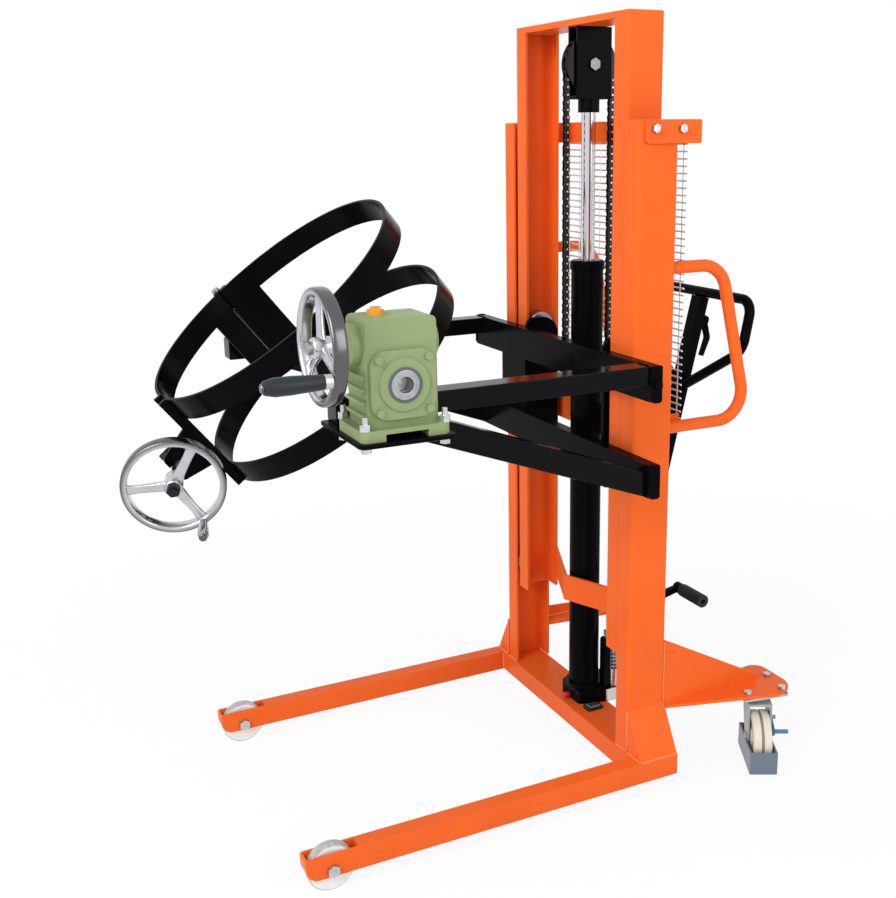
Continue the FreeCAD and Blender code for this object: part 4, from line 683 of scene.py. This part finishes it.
def chain_link(wide, pitch):
    """One link about its middle: two side plates, a roller at its lower end and the pin's ends."""
    gap = wide_gap if wide else narrow_gap
    low = -pitch / 2
    roller = bar_shell((-bush_half, 0, low), (bush_half, 0, low), [bush_radius] * 2, sides=10)
    pin_radii = [pin_tip, pin_radius, pin_radius, pin_tip]
    pin = bar_shell((-pin_half, 0, low), (pin_half, 0, low), pin_radii, sides=8)
    return [link_plate(gap, pitch), link_plate(-gap - plate_thick, pitch), roller, pin]


def chain(spots, ways, pitch):
    """Links set at spots, each turned so that its length follows its way, wide and narrow in turn."""
    parts = []
    for i, (spot, way) in enumerate(zip(spots, ways)):
        turn = np.column_stack([(1.0, 0.0, 0.0), np.cross(way, (1.0, 0.0, 0.0)), way])
        link = chain_link(i % 2 == 0, pitch)
        parts += [(points @ turn.T + spot, quads, caps) for points, quads, caps in link]
    return shells(parts)


def upright_run(y, low, high):
    """Links of a straight run, their pitch stretched a little to fill it."""
    count = int((high - low) / link_pitch)
    pitch = (high - low) / count
    spots = [(0.0, y, low + (i + 0.5) * pitch) for i in range(count)]
    return chain(spots, [(0.0, 0.0, 1.0)] * count, pitch)


(_, sheave_y, sheave_z), _ = joint_of("sheave_turn")
sheave_radius, front_foot, rear_foot = 0.058, 1.000, 0.840
front_y, rear_y = sheave_y - sheave_radius, sheave_y + sheave_radius
chain_front = lay_mesh("chain_front", *upright_run(front_y, front_foot, sheave_z), chain_steel)
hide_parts("lift_chain_front")
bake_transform(chain_front)
chain_rear = lay_mesh("chain_rear", *upright_run(rear_y, rear_foot, sheave_z), chain_steel)
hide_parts("lift_chain_rear")
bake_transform(chain_rear)

# Eleven links lie in a half circle on the sheave.
bend_count = 11
bend = math.pi * (np.arange(bend_count) + 0.5) / bend_count
bend_y, bend_z = sheave_y + sheave_radius * np.cos(bend), sheave_z + sheave_radius * np.sin(bend)
spots = np.column_stack([np.zeros(bend_count), bend_y, bend_z])
ways = np.column_stack([np.zeros(bend_count), -np.sin(bend), np.cos(bend)])
bend_pitch = 2 * sheave_radius * math.sin(math.pi / bend_count / 2)
chain_over = lay_mesh("chain_over_sheave", *chain(spots, ways, bend_pitch), chain_steel)
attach(chain_over, "inner_mast")
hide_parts("lift_chain_wrap")

# Carriage
# Two cross members of tube with end caps, roller plates behind them, and two arms with sloping
# braces that reach forward to the clamp. Everything is welded and enamelled glossy black.
dress(["carriage_upper_beam", "carriage_lower_beam"], black, edge=0.003, steps=3)
black_gloss = coated_steel("black_gloss_enamel", black_shade, rough=0.09, shine=0.09, grime=0.0)
dress(["yoke_arm_right", "yoke_arm_left"], black_gloss, edge=0.003, steps=3)
dress(["carriage_side_plates", "gearbox_foot_plate", "pillow_block"], black, edge=0.002)
(arm_inner, _, _), (arm_outer, arm_end, arm_top) = box_of("yoke_arm_right")
bead_proud, arm_low, arm_gap = 0.0005, 0.968, 0.001
seam_y = arm_end - bead_proud
brace_inner, brace_outer, brace_low, brace_top = 0.356, 0.394, 0.733, 0.783
seams = [((arm_inner, seam_y, arm_low + arm_gap), (arm_inner, seam_y, arm_top - bead_gap)),
         ((arm_inner + bead_gap, seam_y, arm_top), (arm_outer - bead_gap, seam_y, arm_top)),
         ((brace_inner, seam_y, brace_low), (brace_inner, seam_y, brace_top - bead_gap)),
         ((brace_inner + bead_gap, seam_y, brace_top), (brace_outer - bead_gap, seam_y, brace_top)),
         ((arm_inner + bead_gap, seam_y, arm_low), (arm_outer - bead_gap, seam_y, arm_low))]
beads = [weld_bead(*line, size=0.0026) for line in mirrored(seams)]
carriage_welds = lay_mesh("carriage_welds", *shells(beads), black)
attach(carriage_welds, "carriage")

# Gearbox
# A cast worm gearbox, painted sage green, bolted to the plate under the near arm. Its yellow
# breather plug sits on top, and a steel hollow shaft with a rubber seal turns in its cover.
sage_green = (0.268, 0.338, 0.158)
sage = coated_steel("sage_green_casting", sage_green, rough=0.46, shine=0.25, grime=0.0, peel=0.35)
dress(["gearbox_housing"], sage, edge=0.0025, steps=3)
dress(["gearbox_cover"], sage, edge=0.002, steps=3)
pivot, _ = joint_of("cage_tilt")
cover_reach, plug_seat = 0.058, 1.1715
bolt_grey = (0.66, 0.67, 0.69)
plug_and_bolts = plated_steel("zinc_bolts_green_heads_yellow_plug", bolt_grey, rough=0.24, grain=0.15)
tree, _, spot = place_in(plug_and_bolts)
is_paint = reckon(tree, "COMPARE", spot["Y"], float(pivot[1]), cover_reach)
is_plug = reckon(tree, "GREATER_THAN", spot["Z"], plug_seat)
repaint(plug_and_bolts, is_paint, (0.26, 0.33, 0.152))
repaint(plug_and_bolts, is_plug, (0.85, 0.36, 0.02))
is_metal = reckon(tree, "SUBTRACT", 1.0, is_paint)
tree.links.new(is_metal, tree.nodes["Principled BSDF"].inputs["Metallic"])
dress(["gearbox_bolts"], plug_and_bolts, edge=0.0008)


def turned_shell(profile, centre, axis, count=64):
    """Ring turned about an axis: each profile point (r, h) runs round at radius r, h along the axis."""
    way, first, second = across(axis)
    profile = np.asarray(profile, float)
    turn = full_turn(count)[:, None, None]
    ring = np.cos(turn) * first + np.sin(turn) * second
    return shell(np.asarray(centre) + profile[None, :, :1] * ring + profile[None, :, 1:] * way, ring=True)


rubber = coated_steel("seal_rubber", (0.10, 0.12, 0.15), rough=0.5, shine=0.3, grime=0.0)
_, (cover_face, _, _) = box_of("gearbox_cover")
seal_bore, seal_radius, seal_thick = 0.0264, 0.0305, 0.0022
seal_shoulder, seal_round = 0.0014, 0.001
seal_profile = [(seal_bore, 0.0), (seal_radius, 0.0), (seal_radius, seal_shoulder),
                (seal_radius - seal_round, seal_thick), (seal_bore, seal_thick)]
seal = lay_mesh("shaft_seal", *turned_shell(seal_profile, pivot + (cover_face, 0, 0), (1, 0, 0)), rubber)
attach(seal, "carriage")
key_steel = plated_steel("key_steel", (0.50, 0.49, 0.47), rough=0.3, grain=0.2)
key_start, key_end = pivot + (0.5235, -0.0105, 0.006), pivot + (0.5465, -0.0105, 0.006)
key_radii = [0.0028, 0.0034, 0.0034, 0.0028]
key = lay_mesh("shaft_key", *bar_shell(key_start, key_end, key_radii, sides=4), key_steel)
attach(key, "cage")

# Worm shaft and its handwheel
# The worm's shaft leaves the gearbox towards the front and carries a cast alloy handwheel with
# a polished rim. A dark plastic sleeve with a bright collar turns on the wheel's stud.
dress(["worm_shaft"], machined, edge=0.001)
rim_radius, rim_half_thick, rim_half_wide = 0.093, 0.007, 0.013
# Between these distances inside and outside the rim's radius, its outer face is painted dark as a
# reflection.
reflection_inside, reflection_outside = 0.0025, 0.0055
spoke_count, spoke_root, spoke_power = 3, 0.013, 0.8
spoke_half_wide, root_flare, rim_flare = 0.0086, 0.0030, 0.004
spoke_half_deep, root_swell = 0.0052, 0.002
# The hub's far end is rounded: each point is drawn in and set below the end by so much.
hub_radius, hub_chamfer = 0.018, 0.002
hub_rounding = [(0.0, 0.004), (0.0015, 0.0012), (0.003, 0.0)]
stud_radius, stud_spare, stud_sunk = 0.005, 0.014, 0.001
head_radii, head_thick = [0.008, 0.0082, 0.0078, 0.0065], 0.004


def alloy_with_painted_reflection(name, centre):
    """Cast alloy, bright inside the rim; the polished outer face of the rim is painted darker, by the
    distance from the wheel's centre, as a painted reflection of dark surroundings."""
    material = plated_steel(name, (0.60, 0.61, 0.64), rough=0.14, grain=0.02, scale=22.0)
    tree, place, _ = place_in(material)
    # The dark grey laid over the rim's outer face is a painted reflection.
    face = (rim_radius - reflection_inside, rim_radius + reflection_outside)
    repaint(material, carried(tree, away_from(tree, place, centre), face, (0.0, 1.0)), (0.13, 0.13, 0.14))
    return material


def spoke_shell(turn, steps=18, sides=24):
    """Spoke from the hub to the rim at an angle: an oval bar whose half width and half depth are
    powers of its share of the way, so that it widens towards hub and rim."""
    b = full_turn(sides)[None, :]
    share = np.linspace(0.0, 1.0, steps)[:, None]
    along = spoke_root + (rim_radius - spoke_root) * share
    width = spoke_half_wide + root_flare * (1 - share) ** 3 + rim_flare * share ** 7
    depth = spoke_half_deep + root_swell * (1 - share) ** 2
    flat = width * squared_off(np.cos(b), spoke_power)
    deep = depth * squared_off(np.sin(b), spoke_power)
    y = along * math.cos(turn) - flat * math.sin(turn)
    z = along * math.sin(turn) + flat * math.cos(turn)
    return shell(np.stack([deep, y, z], -1))


def handwheel(first_spoke, hub_low, hub_high, bore, handle):
    """Wheel about the x axis in the plane x = 0. The rim's section is a squared off circle, 14 mm
    radial and 26 mm axial, carried round; the hub is turned. A headed stud stands on the rim at
    the first spoke, 15 mm longer than its handle."""
    rim_steps, rim_sides, thick_power, wide_power = 120, 24, 0.6, 0.5
    a = full_turn(rim_steps)[:, None]
    b = full_turn(rim_sides)[None, :]
    reach = rim_radius + rim_half_thick * squared_off(np.cos(b), thick_power)
    depth = np.broadcast_to(rim_half_wide * squared_off(np.sin(b), wide_power), (rim_steps, rim_sides))
    rim = shell(np.stack([depth, reach * np.cos(a), reach * np.sin(a)], -1), ring=True)
    profile = [(bore, hub_low), (hub_radius - hub_chamfer, hub_low), (hub_radius, hub_low + hub_chamfer)]
    profile += [(hub_radius - drawn_in, hub_high - below) for drawn_in, below in hub_rounding]
    hub = turned_shell(profile + [(bore, hub_high)], (0, 0, 0), (1, 0, 0), count=48)
    turns = [math.radians(first_spoke + 360 / spoke_count * i) for i in range(spoke_count)]
    y, z = rim_radius * math.cos(turns[0]), rim_radius * math.sin(turns[0])
    tip = stud_spare + handle
    stud = bar_shell((0, y, z), (tip + stud_sunk, y, z), [stud_radius] * 2, sides=16)
    head = bar_shell((tip, y, z), (tip + head_thick, y, z), head_radii, sides=20)
    return shells([rim, hub] + [spoke_shell(turn) for turn in turns] + [stud, head])


points, quads, caps = handwheel(
    first_spoke=334.0, hub_low=-0.016, hub_high=0.018, bore=0.011, handle=0.112)
worm_wheel_middle, _ = joint_of("worm_turn")
points = np.column_stack([points[:, 1], -points[:, 0], points[:, 2]]) + worm_wheel_middle
worm_alloy = alloy_with_painted_reflection("worm_wheel_alloy_painted_reflection", worm_wheel_middle)
worm_wheel = lay_mesh("worm_wheel_rim", points, quads, caps, worm_alloy)
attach(worm_wheel, "worm")
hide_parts("worm_handwheel")

collar_end = -0.8205
grip = coated_steel("grip_plastic", (0.020, 0.025, 0.034), rough=0.40, shine=0.25, grime=0.0)
tree, _, spot = place_in(grip)
repaint(grip, reckon(tree, "GREATER_THAN", spot["Y"], collar_end), (0.62, 0.62, 0.63), bare=True)
dress(["worm_grip"], grip, edge=0.0008)

# Drum clamp
# Two flat steel hoops joined by pivot plates. The front third is a gate on a hinge at the far
# pivot; a swing bolt with a handwheel closes it on the drum. Hoops and gate are enamelled black.
dress(["drum_cage", "drum_gate"], black, edge=0.0012, flatness=open_flatness)
dress(["cage_shafts"], machined, edge=0.0012)
bolt_eye, swing_axis = joint_of("clamp_swing")
clamp_middle, bolt_axis = joint_of("clamp_turn")
dark_from = 0.1262
bolt_zinc = plated_steel("zinc_bolt_dark_end", zinc_grey, rough=0.22, grain=0.15)
tree, place, _ = place_in(bolt_zinc)
is_end = reckon(tree, "GREATER_THAN", away_from(tree, place, bolt_eye), dark_from)
repaint(bolt_zinc, is_end, (0.03, 0.03, 0.035))
dress(["clamp_bolt"], bolt_zinc, edge=0.001)

points, quads, caps = handwheel(
    first_spoke=266.0, hub_low=-0.024, hub_high=0.016, bore=0.0081, handle=0.058)
swung = np.column_stack([bolt_axis, np.cross(-swing_axis, bolt_axis), -swing_axis])
clamp_alloy = alloy_with_painted_reflection("clamp_wheel_alloy_painted_reflection", clamp_middle)
clamp_wheel = lay_mesh("clamp_wheel_rim", points @ swung.T + clamp_middle, quads, caps, clamp_alloy)
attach(clamp_wheel, "clamp_handwheel")
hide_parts("clamp_handwheel")
polished = plated_steel("polished_alloy", (0.46, 0.47, 0.49), rough=0.10, grain=0.02, scale=22.0)
dress(["clamp_handle"], polished, edge=0.0008)

# Tiller and foot pedal
# A black tiller with a loop handle steers the machine; its trigger lowers the load. The pedal
# works the pump, and its bar wears a sleeve of ribbed black rubber.
dress(["tiller", "release_trigger", "foot_pedal"], black, edge=0.0012)
grip_rubber = coated_steel("ribbed_rubber", (0.022, 0.022, 0.024), rough=0.6, shine=0.3, grime=0.0)
sleeve_start, sleeve_end, sleeve_radius, sleeve_bore = 0.060, 0.1465, 0.0152, 0.0141
rib_pitch, rib_depth = 0.0052, 0.0011
along = np.linspace(sleeve_start, sleeve_end, 130)
# Ribs follow a sine along the sleeve, made twice as steep and cut off at its limits.
ribs = sleeve_radius + rib_depth * np.clip(2.0 * np.sin(along * 2 * math.pi / rib_pitch), -1.0, 1.0)
cap_rim, cap_hole, cap_face = 0.0100, 0.0060, sleeve_end + 0.001
end_cap = [(cap_rim, cap_face), (cap_hole, cap_face), (cap_hole, sleeve_end)]
profile = np.concatenate([[(sleeve_bore, sleeve_start)], np.column_stack([ribs, along]), end_cap])
pedal_bar = (0.0, 0.265, 0.340)
sleeve = lay_mesh("pedal_sleeve", *turned_shell(profile, pedal_bar, (1, 0, 0), count=36), grip_rubber)
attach(sleeve, "foot_pedal")
